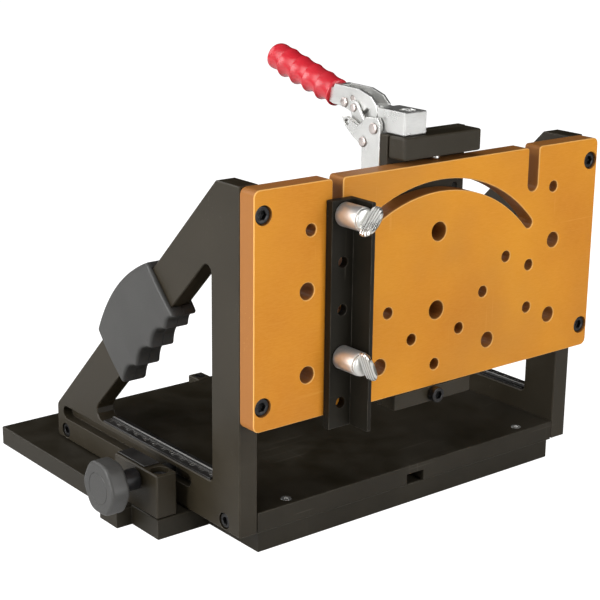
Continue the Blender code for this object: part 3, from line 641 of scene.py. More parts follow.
class Ribbed(Brushed):
    """Bright metal with painted shade in the hollows between the ribs of a thumb screw's paddle."""

    def surface(self, tree: Tree, tone: bpy.types.NodeSocket) -> tuple[object, object]:
        """Paint shade into a band of each rib's pitch, only in front of the collar.

        Args:
            tree: The material's tree.
            tone: A slow variation from 0 to 1.

        Returns:
            The colour and the lines' height.
        """
        colour, lines = super().surface(tree, tone)
        ahead = tree.math("SUBTRACT", PADDLE_FOOT * MM, tree.put("SeparateXYZ", {0: tree.place()}).outputs["Y"])
        along = tree.math("FRACT", tree.math("DIVIDE", ahead, PADDLE_PITCH * MM))
        # painted shade: a dark band in each rib's valley, where shade falls between the ribs
        painted_rib_shade = tree.math("MULTIPLY", tree.spread(along, 0.50, 0.60), tree.spread(along, 0.90, 1.0, 1.0, 0.0))
        painted_rib_shade = tree.math("MULTIPLY", painted_rib_shade, tree.math("GREATER_THAN", ahead, 0.0))
        return tree.blend(tree.math("MULTIPLY", painted_rib_shade, 0.85), colour, RIB_SHADE_COLOUR), lines


BLACK = Finish(
    "black_anodising", "black_anodised", (0.021, 0.0162, 0.0085), (0.029, 0.0232, 0.0140),
    (0.20, 0.18, 0.15), roughness=0.42, gloss_change=0.06, metallic=0.0, rubbed_metallic=0.7, edge_wear=0.6,
    scratches=0.3, dust=0.02, relief=0.08, specular=0.26,
)
AMBER = Laminate(
    "amber_cloth_laminate", "amber_phenolic", (0.64, 0.260, 0.012), (0.54, 0.196, 0.009),
    (0.80, 0.45, 0.12), roughness=0.48, gloss_change=0.06, edge_wear=0.45, scratches=0.3, dust=0.02,
    patches=13.0, relief=0.10, coat=0.03, coat_roughness=0.25, specular=0.2,
)
ZINC = Brushed(
    "bright_zinc", "zinc_plate", (0.64, 0.64, 0.62), (0.76, 0.76, 0.74), (0.90, 0.90, 0.88), roughness=0.32,
    gloss_change=0.07, metallic=0.85, rubbed_metallic=1.0, edge_wear=0.4, scratches=0.4, dust=0.03,
    patches=60.0, relief=0.06,
)
ALUMINIUM = Brushed(
    "turned_aluminium", "machined_aluminium", (0.64, 0.62, 0.59), (0.76, 0.74, 0.71), (0.86, 0.86, 0.85),
    roughness=0.40, gloss_change=0.05, metallic=0.88, rubbed_metallic=1.0, edge_wear=0.5, scratches=0.3,
    dust=0.02, patches=50.0, relief=0.05,
)
OXIDE = Finish(
    "black_oxide_steel", "black_oxide", (0.012, 0.0118, 0.012), (0.026, 0.025, 0.026), (0.28, 0.27, 0.26),
    roughness=0.34, gloss_change=0.08, metallic=0.5, rubbed_metallic=1.0, edge_radius=0.0003, edge_wear=0.6,
    scratches=0.25, dust=0.02, patches=120.0, relief=0.07,
)
MOULDED = Finish(
    "moulded_black_plastic", "moulded_black", (0.033, 0.0322, 0.0300), (0.045, 0.0440, 0.0415),
    (0.08, 0.078, 0.074), roughness=0.46, gloss_change=0.06, edge_radius=0.0003, edge_wear=0.2,
    scratches=0.2, dust=0.03, grain=1500.0, relief=0.3, specular=0.5,
)
VINYL = Finish(
    "red_dipped_vinyl", "red_vinyl", (0.60, 0.020, 0.034), (0.51, 0.013, 0.025), (0.70, 0.07, 0.07),
    roughness=0.34, gloss_change=0.06, edge_wear=0.1, scratches=0.25, dust=0.03, grain=900.0, patches=45.0,
    relief=0.08, coat=0.25, coat_roughness=0.18,
)
SCALE = Ruled(
    "ruled_scale", "etched_scale", (0.014, 0.0135, 0.013), (0.022, 0.021, 0.020), (0.42, 0.42, 0.41),
    roughness=0.34, edge_radius=0.0002, edge_wear=0.5, scratches=0.3, dust=0.02, relief=0.04, specular=0.4,
)
CARD = Ruled(
    "small_ruled_plate", "etched_scale", (0.014, 0.013, 0.012), (0.020, 0.019, 0.018), (0.30, 0.29, 0.28),
    roughness=0.45, edge_radius=0.0002, dust=0.02, relief=0.04,
)
INK = Finish(
    "pale_figure_ink", "etched_scale", (0.42, 0.41, 0.38), (0.50, 0.49, 0.46), (0.60, 0.59, 0.56),
    roughness=0.5, edge_radius=0.00005, edge_wear=0.1, scratches=0.1, dust=0.02, relief=0.02,
)
# A darker copy of the black anodising for the fence angle: painted shade for its shaded inner corner
SHADED_FENCE_ANODISING = replace(
    BLACK, name="fence_anodising_painted_shade", tone=(0.0080, 0.0068, 0.0042), second=(0.0130, 0.0110, 0.0072),
    roughness=0.5, specular=0.14,
)
# A darker copy of the black anodising for the base and carriage plates: painted shade for their shaded tops
SHADED_DECK_ANODISING = replace(
    BLACK, name="deck_anodising_painted_shade", tone=(0.015, 0.012, 0.0068), second=(0.022, 0.018, 0.011), specular=0.22,
)
RIVET = replace(
    ZINC, name="rivet_steel", tone=(0.46, 0.39, 0.36), second=(0.58, 0.50, 0.47), roughness=0.36,
)
RIBBED = Ribbed(
    "ribbed_nickel_painted_shade", "zinc_plate", (0.60, 0.60, 0.57), (0.74, 0.74, 0.71), (0.88, 0.88, 0.86),
    roughness=0.34, metallic=0.9, rubbed_metallic=1.0, edge_radius=0.0002, edge_wear=0.3, scratches=0.3,
    dust=0.02, patches=60.0, relief=0.05,
)
# the fence angle, base plate and carriage plate take darker copies of the black anodising that paint shade
FINISH_OF_NODE = {"pin_block_scale": CARD, "fence_angle": SHADED_FENCE_ANODISING, "base_plate": SHADED_DECK_ANODISING, "carriage_plate": SHADED_DECK_ANODISING}
SLOT_FINISHES = (BLACK, AMBER, ZINC, ALUMINIUM, OXIDE, MOULDED, VINYL, SCALE)
FINISH_OF_SLOT = {finish.slot: finish for finish in SLOT_FINISHES}


# ---------------------------------------------------------------- pieces


def settle(item: bpy.types.Object, body: Body, finish: Finish, *nodes: str) -> bpy.types.Object:
    """Ride a piece on its body and let it stand for its nodes.

    Args:
        item: The piece.
        body: The body that it moves with.
        finish: Its finish; not used.
        *nodes: The nodes that it stands for.

    Returns:
        The piece.
    """
    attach(item, body.value)
    if nodes:
        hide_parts(*nodes)
    LOG.info("%s rides on %s", item.name, body.value)
    return item


def middle(node: str) -> tuple[Array, Array, Array]:
    """The lowest corner, highest corner and centre of a node, in millimetres.

    Args:
        node: The node's name.

    Returns:
        The two corners and the centre.
    """
    low, high = (np.asarray(corner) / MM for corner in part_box(node))
    return low, high, (low + high) / 2


@dataclass
class CapScrew:
    """A socket head cap screw: knurled rim, rounded edge and a six-sided socket."""

    node: str
    out: Axis
    body: Body
    finish: Finish = OXIDE
    head_share: float = 0.22
    teeth: int = 30
    tooth: float = 0.12

    def build(self) -> bpy.types.Object:
        """Rings run from the shank's end, round the head and down into the socket."""
        low, high, centre = middle(self.node)
        direction = np.array(self.out.value)
        reach = high - low
        length = float(abs(reach @ direction))
        radius = float(np.delete(reach, int(np.argmax(np.abs(direction)))).max()) / 2
        head = length * self.head_share
        shank = radius * 0.6
        seat = centre + direction * (length / 2 - head)
        knurl = lambda angle: radius - self.tooth * (0.5 + 0.5 * np.cos(self.teeth * angle))
        rim = fillet((radius - 0.6, head - 0.6), 0.6, 0.0, 90.0)
        socket = hexagon(radius * 0.5)
        countersunk = lambda angle: socket(angle) + 0.25
        radii = [0.0, shank - 0.4, shank, shank, radius - 0.3, knurl, knurl]
        radii += [*rim[:, 0], countersunk, socket, socket, 0.0]
        heights = [head - length, head - length, head - length + 0.4, 0.0, 0.0, 0.3, head - 0.7]
        heights += [*rim[:, 1], head, head - 0.2, head * 0.45, head * 0.36]
        item = turned(self.node + "_fine", seat, direction, radii, heights, self.finish.material(), 120)
        return settle(item, self.body, self.finish, self.node)


@dataclass
class FlatScrew:
    """A countersunk screw with a six-sided socket, level with the surface that it holds."""

    node: str
    body: Body
    finish: Finish

    def build(self) -> bpy.types.Object:
        """Rings run from the shank's end, up the cone and down into the socket."""
        low, high, centre = middle(self.node)
        radius = float(high[0] - low[0]) / 2
        length = float(high[2] - low[2])
        top = np.array([centre[0], centre[1], high[2]])
        socket = hexagon(radius * 0.38)
        radii = [0.0, radius * 0.5, radius * 0.5, radius - 0.1, radius, radius - 0.15, socket, socket, 0.0]
        heights = [-length, -length, -radius * 0.55, -0.3, -0.15, 0.0, 0.0, -1.1, -1.3]
        item = turned(self.node + "_fine", top, Axis.UP.value, radii, heights, self.finish.material(), 72)
        return settle(item, self.body, self.finish, self.node)


@dataclass
class Rivet:
    """A pin along X with a low domed head at the ends that show."""

    node: str
    body: Body
    heads: tuple[bool, bool]
    neck: float = 1.9

    def build(self) -> bpy.types.Object:
        """Each head is a flattened dome on a straight pin."""
        low, high, centre = middle(self.node)
        length = float(high[0] - low[0])
        radius = float(high[2] - low[2]) / 2
        turn = np.radians(np.linspace(0.0, 90.0, 7))
        dome_r, dome_h = radius * np.sin(turn), 0.5 * np.cos(turn)
        radii: list[float] = [0.0, self.neck]
        heights: list[float] = [0.0, 0.0]
        if self.heads[0]:
            radii = [*dome_r, radius, self.neck]
            heights = [*(0.5 - dome_h), 0.85, 0.85]
        if self.heads[1]:
            radii += [self.neck, radius, *dome_r[::-1]]
            heights += [length - 0.85, length - 0.85, *(length - 0.5 + dome_h[::-1])]
        else:
            radii += [self.neck, 0.0]
            heights += [length, length]
        start = np.array([low[0], centre[1], centre[2]])
        item = turned(self.node + "_fine", start, Axis.RIGHT.value, radii, heights, RIVET.material(), 48)
        return settle(item, self.body, RIVET, self.node)


@dataclass
class FingerGrip:
    """One half of a moulded grip that closes round a sloping strut."""

    label: str
    side: int
    outward: int
    strut_sum: float = 219.15
    u_range: tuple[float, float] = (-48.5, 30.5)
    pitch: float = 22.0
    cusp: float = -20.6
    trough: float = -15.7
    crown: float = 26.8
    shoulder: float = 13.6
    channel: float = 13.75
    room: float = 6.65
    proud: float = 8.9
    split: float = 0.15
    edge: float = 2.4
    stations: int = 240

    def fingers(self, u: Array) -> Array:
        """The scalloped edge: between two cusps the edge dips as a half sine wave.

        Args:
            u: Distances down the strut.

        Returns:
            The edge's distance from the strut's middle.
        """
        phase = np.mod(self.u_range[1] - u, self.pitch) / self.pitch
        last = self.u_range[1] - 3 * self.pitch
        top = (last - u) / (last - self.u_range[0])
        phase = np.where(u < last, top, phase)
        depth = np.where(u < last, (last - self.u_range[0]) / self.pitch, 1.0)
        dip = np.sin(np.pi * np.clip(phase, 0.0, 1.0)) ** 0.9
        return self.cusp + (self.trough - self.cusp) * dip * depth

    def back(self, u: Array) -> Array:
        """The crowned back: a single swell along the strut.

        Args:
            u: Distances down the strut.

        Returns:
            The back's distance from the strut's middle.
        """
        t = (self.u_range[1] - u) / (self.u_range[1] - self.u_range[0])
        return self.shoulder + (self.crown - self.shoulder) * np.sin(np.pi * (0.12 + 0.80 * t)) ** 0.8

    def build(self) -> bpy.types.Object:
        """Carry a C-shaped section down the strut: outer skin with rounded edges, inner channel walls."""
        u = np.linspace(*self.u_range, self.stations)[:, None]
        near_end = np.minimum(u - self.u_range[0], self.u_range[1] - u)
        lap = np.clip(1.0 - near_end / 1.6, 0.0, 1.0)
        tuck = 1.3 * (1.0 - np.sqrt(1.0 - lap**2))
        low = self.fingers(u) + tuck
        high = self.back(u) - tuck
        top = self.proud - tuck
        turn = np.linspace(0.0, np.pi / 2, 8)[None, :]
        edge = np.minimum(self.edge, np.maximum(-self.channel - low, 0.4) + 0.9)
        across = np.linspace(0.0, 1.0, 26)[None, 1:-1]
        flat = low + edge + (high - low - edge - self.edge) * across
        crown = 0.55 * np.sin(np.pi * across) + 0.0 * flat
        v_outer = np.hstack([
            low, low + edge * (1 - np.cos(turn)), flat, high - self.edge * (1 - np.cos(turn[:, ::-1])), high,
        ])
        x_outer = np.hstack([
            0 * low + self.split, top - edge * (1 - np.sin(turn)), top + crown,
            top - self.edge * (1 - np.sin(turn[:, ::-1])), 0 * low + self.split,
        ])
        count = v_outer.shape[1]
        wall_v = np.array([-self.channel, -self.channel, self.channel, self.channel])
        wall_x = np.array([self.split, self.room, self.room, self.split])
        stops = np.array([0.0, 1.0, count - 2.0, count - 1.0])
        steps = np.arange(count)
        v_inner = np.broadcast_to(np.interp(steps, stops, wall_v), v_outer.shape)
        x_inner = np.broadcast_to(np.interp(steps, stops, wall_x), v_outer.shape)
        v = np.hstack([v_outer, v_inner[:, ::-1]])
        x = np.hstack([x_outer, x_inner[:, ::-1]])
        total = v * math.sqrt(2) + self.strut_sum
        slide = np.broadcast_to(u, v.shape) * math.sqrt(2)
        points = np.stack([
            self.side * (STRUT_MID + self.outward * x), FRONT + (total + slide) / 2, (total - slide) / 2,
        ], axis=-1)
        ring = 2 * count
        faces = [grid_faces(self.stations, ring, True)]
        here = np.arange(count - 1)
        for first in (0, (self.stations - 1) * ring):
            faces.append(first + np.stack([here, here + 1, ring - 2 - here, ring - 1 - here], axis=-1))
        node = f"{self.label}_grip_{'outer' if self.outward > 0 else 'inner'}"
        item = piece(node + "_moulding", points, np.vstack(faces), MOULDED.material(), 50.0)
        return settle(item, Body.CARRIAGE, MOULDED, node)


@dataclass
class ThumbScrew:
    """A bright thumb screw: a round collar and a flat oval paddle with ribs across it."""

    node: str
    body: Body
    turn: float
    half: float = 9.3
    reach: float = 7.3
    centre: float = 4.9
    thin: float = 0.95
    rib: float = 0.55
    ribs: int = 5
    loops: int = 44
    columns: int = 120

    def paddle(self, seat: Array) -> tuple[Array, Array]:
        """Loops shrink from the oval's rim to its middle, first on one side and then on the other.

        Half the thickness is thin * (1 - share**6)**0.5, and a raised cosine of the height adds the ribs.

        Args:
            seat: The collar's middle on the face it clamps.

        Returns:
            Points and quads of the paddle.
        """
        t = np.linspace(0.0, math.tau, self.columns, endpoint=False)
        across = np.sign(np.cos(t)) * np.abs(np.cos(t)) ** 0.9
        rise = np.abs(np.sin(t))
        out = self.reach * np.where(np.sin(t) > 0.0, rise**0.95, -0.56 * rise**0.5)
        share, side = there_and_back(self.loops, 0.7)
        wide = share * across * self.half
        high = self.centre + share * out
        ribbed = np.abs(np.sin(math.pi * self.ribs * (high - self.centre + 3.4) / (self.reach + 2.6))) ** 0.6
        fade = np.clip((1.0 - share) / 0.12, 0.0, 1.0)
        thick = side * (self.thin * np.sqrt(np.clip(1.0 - share**6, 0.0, 1.0)) + self.rib * ribbed * fade)
        along = np.array([math.cos(self.turn), 0.0, math.sin(self.turn)])
        aside = np.array([-math.sin(self.turn), 0.0, math.cos(self.turn)])
        front = np.array(Axis.FRONT.value)
        points = seat + wide[..., None] * along + thick[..., None] * aside + high[..., None] * front
        return points, grid_faces(2 * self.loops, self.columns, True)

    def build(self) -> bpy.types.Object:
        """A turned shank and collar with the paddle standing on it."""
        low, high, centre = middle(self.node)
        seat = float(high[1] - low[1]) - self.centre - self.reach
        radii = [0.0, 2.5, 3.0, 3.0, 6.1, 6.5, 6.5, 6.2, 5.2, 3.6, 0.0]
        above = (0.0, 0.0, 0.4, 1.1, 1.5, 1.8, 2.3, 2.4)
        heights = [0.0, 0.0, 0.5, *(seat + rise for rise in above)]
        start = np.array([centre[0], high[1], centre[2]])
        shank = rings(start, Axis.FRONT.value, radii, heights, 72)
        blade = self.paddle(start - np.array([0.0, seat, 0.0]))
        item = piece(self.node + "_fine", *shells(shank, blade), RIBBED.material())
        return settle(item, self.body, RIBBED, self.node)


@dataclass
class SideFence:
    """The angle on two tube spacers, held by thumb screws."""

    levels: tuple[str, str] = ("upper", "lower")
    turns: tuple[float, float] = (math.radians(53.0), math.radians(112.0))
    bore: float = 3.4

    def build(self) -> None:
        """Turn both spacers with chamfered mouths, and both thumb screws."""
        for level, turn, body in zip(self.levels, self.turns, (Body.UPPER_SCREW, Body.LOWER_SCREW)):
            node = f"{level}_fence_spacer"
            low, high, centre = middle(node)
            radius = float(high[0] - low[0]) / 2
            length = float(high[1] - low[1])
            half_r = [self.bore, self.bore + 0.4, radius - 0.5, radius - 0.15, radius]
            half_h = [0.4, 0.0, 0.0, 0.15, 0.5]
            radii = [*half_r, *half_r[::-1], self.bore]
            heights = [*half_h, *(length - height for height in half_h[::-1]), 0.4]
            start = np.array([centre[0], high[1], centre[2]])
            item = turned(node + "_fine", start, Axis.FRONT.value, radii, heights, ALUMINIUM.material(), 96)
            settle(item, Body.CARRIAGE, ALUMINIUM, node)
            ThumbScrew(f"{level}_thumb_screw", body, turn).build()


@dataclass
class LockKnob:
    """The lobed lock knob and its stepped stud."""

    lobes: int = 6
    swell: float = 0.42
    outer: float = 16.2
    rounding: float = 2.2
    stud: float = 4.0
    seat: float = 7.5
    collar: float = 13.5
    ridge: float = 0.18
    thread_pitch: float = 1.25

    def build(self) -> None:
        """Each ring of the knob is a circle swollen by a cosine of the lobes; the outer face is nearly flat."""
        low, high, centre = middle("clamp_knob")
        thick = float(high[0] - low[0])
        outer, rounding = self.outer, self.rounding
        loops: list[tuple[float, float, float]] = [(0.0, 0.0, 0.0), (5.5, 0.0, 0.0)]
        loops += [(r, h, 1.0) for r, h in fillet((outer - rounding, rounding), rounding, -90.0, 0.0, 8)]
        loops += [(r, h, 1.0) for r, h in fillet((outer - rounding, thick - rounding), rounding, 0.0, 90.0, 8)]
        loops += [(11.0, thick - 0.02, 0.3), (9.9, thick - 0.05, 0.0), (9.7, thick - 0.3, 0.0)]
        loops += [(9.4, thick - 0.3, 0.0), (9.2, thick - 0.08, 0.0), (5.0, thick - 0.02, 0.0), (0.0, thick, 0.0)]
        radii = [lambda angle, r=r, w=w: r + w * self.swell * np.cos(self.lobes * angle) for r, _, w in loops]
        heights = [h for _, h, _ in loops]
        start = np.array([high[0], centre[1], centre[2]])
        item = turned("clamp_knob_moulding", start, Axis.LEFT.value, radii, heights, MOULDED.material(), 180)
        settle(item, Body.KNOB, MOULDED, "clamp_knob")

        low, high, centre = middle("knob_stud")
        length = float(high[0] - low[0])
        seat, collar, stud = self.seat, self.collar, self.stud
        turns = np.arange(0.0, length - seat - collar - 1.2, 0.5)
        wave = 1.0 - np.cos(math.tau * turns / self.thread_pitch)
        radii = [0.0, stud, stud, 6.2, 6.5, 6.5, 6.2, stud]
        heights = [0.0, 0.0, seat, seat, seat + 0.3, seat + collar - 0.3, seat + collar, seat + collar]
        radii += list(stud - self.ridge * wave / 2) + [3.4, 0.0]
        heights += list(seat + collar + 0.2 + turns) + [length, length]
        start = np.array([low[0], centre[1], centre[2]])
        item = turned("knob_stud_fine", start, Axis.RIGHT.value, radii, heights, OXIDE.material(), 64)
        settle(item, Body.KNOB, OXIDE, "knob_stud")


@dataclass
class HandleGrip:
    """The red vinyl grip: a gently waved back, finger grooves between sharp ridges below and a rounded tip."""

    start: tuple[float, float] = (58.4, 248.4)
    tilt: float = math.radians(15.0)
    length: float = 64.5
    grooves: int = 5
    under: float = 2.1
    over: float = 0.7
    ridge: float = 9.6
    tip: float = 7.5
    clamp_x: float = -18.9

    def build(self) -> bpy.types.Object:
        """Radius is the ridge's less depth * |sin(grooves * pi * share)|**0.8, deeper on the underside."""
        s = np.linspace(0.0, 1.0, 190)
        along = self.length * np.sin(s * np.pi / 2) ** 0.9
        into_tip = np.clip((along - (self.length - self.tip)) / self.tip, 0.0, 1.0)
        closing = np.sqrt(np.clip(1.0 - into_tip**2, 0.0, 1.0))
        lip = np.clip(1.0 - along / 1.6, 0.0, 1.0)
        angle = np.linspace(0.0, math.tau, 96, endpoint=False)
        share = np.clip(along / (self.length - self.tip * 0.45), 0.0, 1.0)
        groove = np.abs(np.sin(self.grooves * np.pi * share)) ** 0.8
        down = 0.5 - 0.5 * np.sin(angle)
        depth = self.over + (self.under - self.over) * down**1.5
        core = self.ridge - 0.7 * (1.0 - share) - 0.9 * (1.0 - np.sqrt(1.0 - lip**2))
        radius = (core[:, None] - depth[None, :] * groove[:, None]) * closing[:, None]
        radius = np.vstack([np.zeros((1, angle.size)), radius])
        along = np.concatenate([[0.0], along])
        forward = np.array([0.0, math.cos(self.tilt), math.sin(self.tilt)])
        upward = np.array([0.0, -math.sin(self.tilt), math.cos(self.tilt)])
        aside = np.array([1.0, 0.0, 0.0])
        origin = np.array([self.clamp_x, FRONT + self.start[0], self.start[1]])
        points = (
            origin + along[:, None, None] * forward + (radius * np.cos(angle))[..., None] * aside * 0.96
            + (radius * np.sin(angle))[..., None] * upward
        )
        item = piece("handle_grip_vinyl", points, grid_faces(along.size, angle.size, True), VINYL.material(), 75.0)
        return settle(item, Body.HANDLE, VINYL, "handle_grip")


@dataclass
class LinkPlate:
    """One of the two outer link plates of the toggle, broad in the middle, with rounded rims."""

    label: str
    round_: float = 4.3
    belly: float = 3.0
    stations: int = 64
    loops: int = 12

    def build(self) -> None:
        """Across the link, the half width is a rounded bar's, plus belly * sin(pi * share)**2 on the rear side.

        Half the thickness is thin * (1 - share**12)**0.5 from the middle line to the rim.
        """
        node = f"toggle_link_{self.label}"
        low, high, centre = middle(node)
        foot = middle(f"link_pin_{self.label}")[2][1:]
        head = middle(f"coupler_pin_{self.label}")[2][1:]
        length = float(np.linalg.norm(head - foot))
        ahead = (head - foot) / length
        rear = np.array([ahead[1], -ahead[0]])
        rear = rear if rear[0] > 0.0 else -rear
        s = 0.5 - 0.5 * np.cos(np.linspace(0.0, np.pi, self.stations))
        u = -self.round_ + s * (length + 2.0 * self.round_)
        beyond = np.maximum(np.maximum(-u, u - length), 0.0)
        wide = np.sqrt(np.clip(self.round_**2 - beyond**2, 0.0, None))
        bulge = self.belly * np.sin(np.pi * np.clip(u / length, 0.0, 1.0)) ** 2
        outline_u = np.concatenate([u, u[::-1]])
        outline_v = np.concatenate([wide + bulge, -wide[::-1]])
        share, side = there_and_back(self.loops, 0.4)
        thin = float(high[0] - low[0]) / 2
        x = centre[0] + side * thin * np.sqrt(np.clip(1.0 - share**12, 0.0, 1.0)) + 0.0 * outline_u
        flat = foot + outline_u[:, None] * ahead + (share * outline_v)[..., None] * rear
        points = np.concatenate([x[..., None], flat], axis=-1)
        faces = grid_faces(2 * self.loops, 2 * self.stations, True)
        settle(piece(node + "_fine", points, faces, ZINC.material()), Body.LINK, ZINC, node)


@dataclass
class HandleRivet:
    """A low hexagon-headed rivet through the handle's plates."""

    place: tuple[float, float] = (45.1, 245.4)
    clamp_x: float = -18.9
    plate_face: float = 5.8
    head: float = 1.1
    apothem: float = 2.75

    def build(self) -> None:
        """Each head is a chamfered hexagon with a low dome."""
        for label, side, out in (("left", -1, Axis.LEFT), ("right", 1, Axis.RIGHT)):
            flats = hexagon(self.apothem)
            seat = (self.clamp_x + side * (self.plate_face - 0.3), FRONT + self.place[0], self.place[1])
            radii = [0.0, flats, flats, lambda angle: flats(angle) * 0.9, 1.6, 0.0]
            heights = [0.0, 0.0, self.head, self.head + 0.25, self.head + 0.5, self.head + 0.6]
            item = turned(f"handle_rivet_{label}", seat, out.value, radii, heights, RIVET.material(), 48)
            settle(item, Body.HANDLE, RIVET)


@dataclass
class ScaleNumbers:
    """Small figures beside the ruling on each bottom rail, one for every ten millimetres."""

    height: float = 2.6
    first: float = 33.0
    aside: float = 3.4
    lift: float = 0.93
    count: int = 11
    step: float = 10.0

    def build(self) -> None:
        """Set each figure flat on the strip, as one mesh for each side."""
        for label, side in SIDES:
            low = middle(f"{label}_scale_strip")[0]
            collected = bmesh.new()
            for number in range(self.count):
                curve = bpy.data.curves.new("figure", "FONT")
                curve.body = str(number)
                curve.size = self.height * MM
                curve.align_x = "CENTER"
                curve.extrude = 0.02 * MM
                holder = bpy.data.objects.new("figure", curve)
                bpy.context.scene.collection.objects.link(holder)
                bpy.context.view_layer.update()
                mesh = bpy.data.meshes.new_from_object(holder)
                ahead = FRONT + self.first + self.step * number
                spot = Vector((side * (STRUT_MID + self.aside), ahead, low[2] + self.lift)) * MM
                mesh.transform(Matrix.Translation(spot) @ Matrix.Rotation(side * math.pi / 2, 4, "Z"))
                collected.from_mesh(mesh)
                bpy.data.objects.remove(holder, do_unlink=True)
                bpy.data.curves.remove(curve)
                bpy.data.meshes.remove(mesh)
            made = bpy.data.meshes.new(f"{label}_scale_figures")
            collected.to_mesh(made)
            collected.free()
            made.materials.append(INK.material())
            item = bpy.data.objects.new(made.name, made)
            bpy.context.scene.collection.objects.link(item)
            settle(item, Body.CARRIAGE, INK)


@dataclass
class ScrewSet:
    """Every cap screw, flat screw and rivet of the jig."""

    corners: tuple[str, ...] = ("lower_left", "lower_right", "upper_left", "upper_right")

    def build(self) -> None:
        """Make each screw from its node's box and the way that its head points."""
        caps = [CapScrew(f"face_screw_{spot}", Axis.FRONT, Body.CARRIAGE, head_share=0.215) for spot in self.corners]
        for label, out in (("left", Axis.LEFT), ("right", Axis.RIGHT)):
            for end in ("front", "rear"):
                caps.append(CapScrew(f"{label}_frame_screw_{end}", out, Body.CARRIAGE, head_share=0.195))
        for name, finish, share in (("post_screw", OXIDE, 0.247), ("toggle_screw", ZINC, 0.31)):
            for level in ("lower", "upper"):
                caps.append(CapScrew(f"{name}_{level}", Axis.REAR, Body.CARRIAGE, finish, share))
        caps += [
            CapScrew("post_foot_screw", Axis.FRONT, Body.CARRIAGE, head_share=0.207),
            CapScrew("pin_block_screw", Axis.UP, Body.BASE, head_share=0.156),
            CapScrew("hold_down_bolt", Axis.UP, Body.HOLD_DOWN, ZINC, 0.135),
        ]
        flats = [FlatScrew(f"deck_screw_{label}", Body.CARRIAGE, ZINC) for label in ("left", "right")]
        flats += [FlatScrew(f"guide_key_screw_{end}", Body.BASE, OXIDE) for end in ("front", "rear")]
        flats.append(FlatScrew("rear_stop_screw", Body.BASE, OXIDE))
        rivets = [
            Rivet("arm_pin", Body.CARRIAGE, (True, True)),
            Rivet("handle_pin", Body.HOLD_DOWN, (False, False)),
        ]
        for name, body in (("link_pin", Body.CARRIAGE), ("coupler_pin", Body.LINK)):
            for label, _ in SIDES:
                rivets.append(Rivet(f"{name}_{label}", body, (label == "left", label == "right")))
        for maker in (*caps, *flats, *rivets):
            maker.build()


# ---------------------------------------------------------------- studio


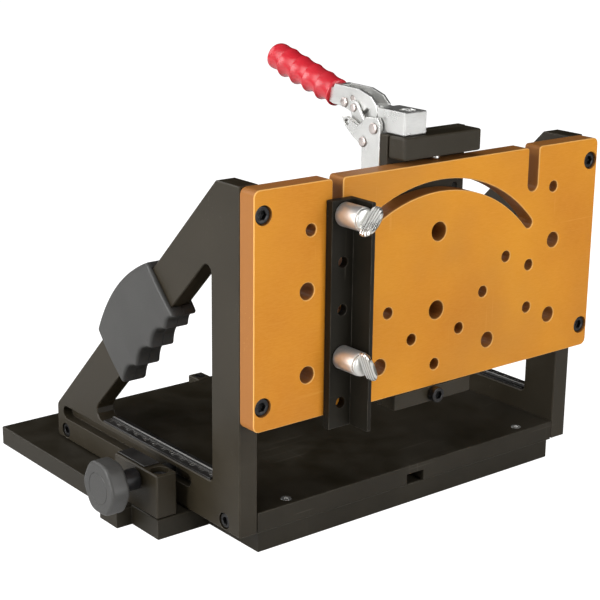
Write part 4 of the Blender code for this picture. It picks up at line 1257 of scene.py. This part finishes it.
@dataclass
class Studio:
    """A pale floor, soft lights and the camera."""

    azimuth: float = math.radians(38.66)
    elevation: float = math.radians(16.47)
    roll: float = math.radians(0.65)
    place: tuple[float, float, float] = (-0.6039, -0.7595, 0.3889)
    lens: float = 92.05
    floor_half: float = 6.0
    floor_glow: float = 0.72
    surround: float = 0.06

    def camera(self) -> None:
        """Aim the camera by its azimuth, elevation and roll."""
        flat = math.cos(self.elevation)
        back = Vector((-math.sin(self.azimuth) * flat, -math.cos(self.azimuth) * flat, math.sin(self.elevation)))
        right = (-back).cross(Vector((0.0, 0.0, 1.0))).normalized()
        up = right.cross(-back)
        turn, lean = math.cos(self.roll), math.sin(self.roll)
        columns = (turn * right + lean * up, turn * up - lean * right, back)
        data = bpy.data.cameras.new("camera")
        data.lens = self.lens
        data.sensor_width = 36.0
        data.clip_start = 0.01
        holder = bpy.data.objects.new("camera", data)
        holder.matrix_world = Matrix.Translation(self.place) @ Matrix(columns).transposed().to_4x4()
        bpy.context.scene.collection.objects.link(holder)
        bpy.context.scene.camera = holder

    def floor(self) -> None:
        """A wide pale sheet just under the base plate."""
        half = self.floor_half
        mesh = bpy.data.meshes.new("floor")
        corners = [(-half, -half, 0), (half, -half, 0), (half, half, 0), (-half, half, 0)]
        mesh.from_pydata(corners, [], [(0, 1, 2, 3)])
        material = bpy.data.materials.new("pale_floor")
        material.use_nodes = True
        shader = material.node_tree.nodes["Principled BSDF"]
        shader.inputs["Base Color"].default_value = (0.90, 0.90, 0.90, 1.0)
        shader.inputs["Roughness"].default_value = 0.7
        shader.inputs["Specular IOR Level"].default_value = 0.1
        tree = Tree(material.node_tree)
        seen = tree.math("MULTIPLY", tree.put("LightPath").outputs["Is Camera Ray"], self.floor_glow)
        glow = tree.put("Emission", {"Color": (1.0, 1.0, 1.0, 1.0), "Strength": 1.45})
        mixed = tree.put("MixShader", {0: seen, 1: shader.outputs[0], 2: glow.outputs[0]})
        output = material.node_tree.nodes["Material Output"]
        material.node_tree.links.new(mixed.outputs[0], output.inputs["Surface"])
        mesh.materials.append(material)
        sheet = bpy.data.objects.new("floor", mesh)
        bpy.context.scene.collection.objects.link(sheet)

    def lamp(self, name: str, place: Sequence[float], size: float, power: float) -> None:
        """A square soft light aimed at the jig.

        Args:
            name: The light's name.
            place: Where it stands, in metres.
            size: Its side.
            power: Its power in watts.
        """
        data = bpy.data.lights.new(name, "AREA")
        data.shape = "SQUARE"
        data.size = size
        data.energy = power
        holder = bpy.data.objects.new(name, data)
        aim = Vector((0.0, 0.0, 0.12)) - Vector(place)
        holder.matrix_world = Matrix.Translation(place) @ aim.to_track_quat("-Z", "Y").to_matrix().to_4x4()
        bpy.context.scene.collection.objects.link(holder)

    def build(self) -> None:
        """Set the camera, floor, lights and an even white surround."""
        self.camera()
        self.floor()
        self.lamp("overhead_softbox", (-0.6, -0.6, 1.9), 1.2, 11.0)
        self.lamp("front_softbox", (0.35, -1.9, 0.55), 1.5, 33.0)
        self.lamp("rear_fill", (-0.8, 1.8, 1.2), 1.3, 14.0)
        self.lamp("left_softbox", (-1.7, 0.15, 0.65), 1.3, 36.0)
        world = bpy.data.worlds.new("white_surround")
        world.use_nodes = True
        backdrop = world.node_tree.nodes["Background"]
        tree = Tree(world.node_tree)
        seen = tree.put("LightPath").outputs["Is Camera Ray"]
        world.node_tree.links.new(tree.spread(seen, 0.0, 1.0, self.surround, 1.0), backdrop.inputs["Strength"])
        bpy.context.scene.world = world
        bpy.context.scene.view_settings.view_transform = "Standard"


def dress_frame(frame: dict) -> None:
    """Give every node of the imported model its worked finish.
    """
    for entry in frame["record"]["subparts"]:
        node = frame["nodes"][entry["node"]]
        finish = FINISH_OF_NODE.get(entry["node"], FINISH_OF_SLOT[entry["material_slot"]])
        if not node.material_slots:
            node.data.materials.append(None)
        for place in node.material_slots:
            place.material = finish.material()
        LOG.info("%s is finished in %s", node.name, finish.name)


def main() -> None:
    """Load the frame, dress it, build the fine pieces and set the studio."""
    logging.basicConfig(level=logging.INFO, format="%(name)s: %(message)s")
    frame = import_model()
    dress_frame(frame)
    Studio().build()
    for label, side in SIDES:
        for outward in (1, -1):
            FingerGrip(label, side, outward).build()
    HandleGrip().build()
    HandleRivet().build()
    for label, _ in SIDES:
        LinkPlate(label).build()
    SideFence().build()
    LockKnob().build()
    ScrewSet().build()
    ScaleNumbers().build()


if __name__ == "__main__":
    main()
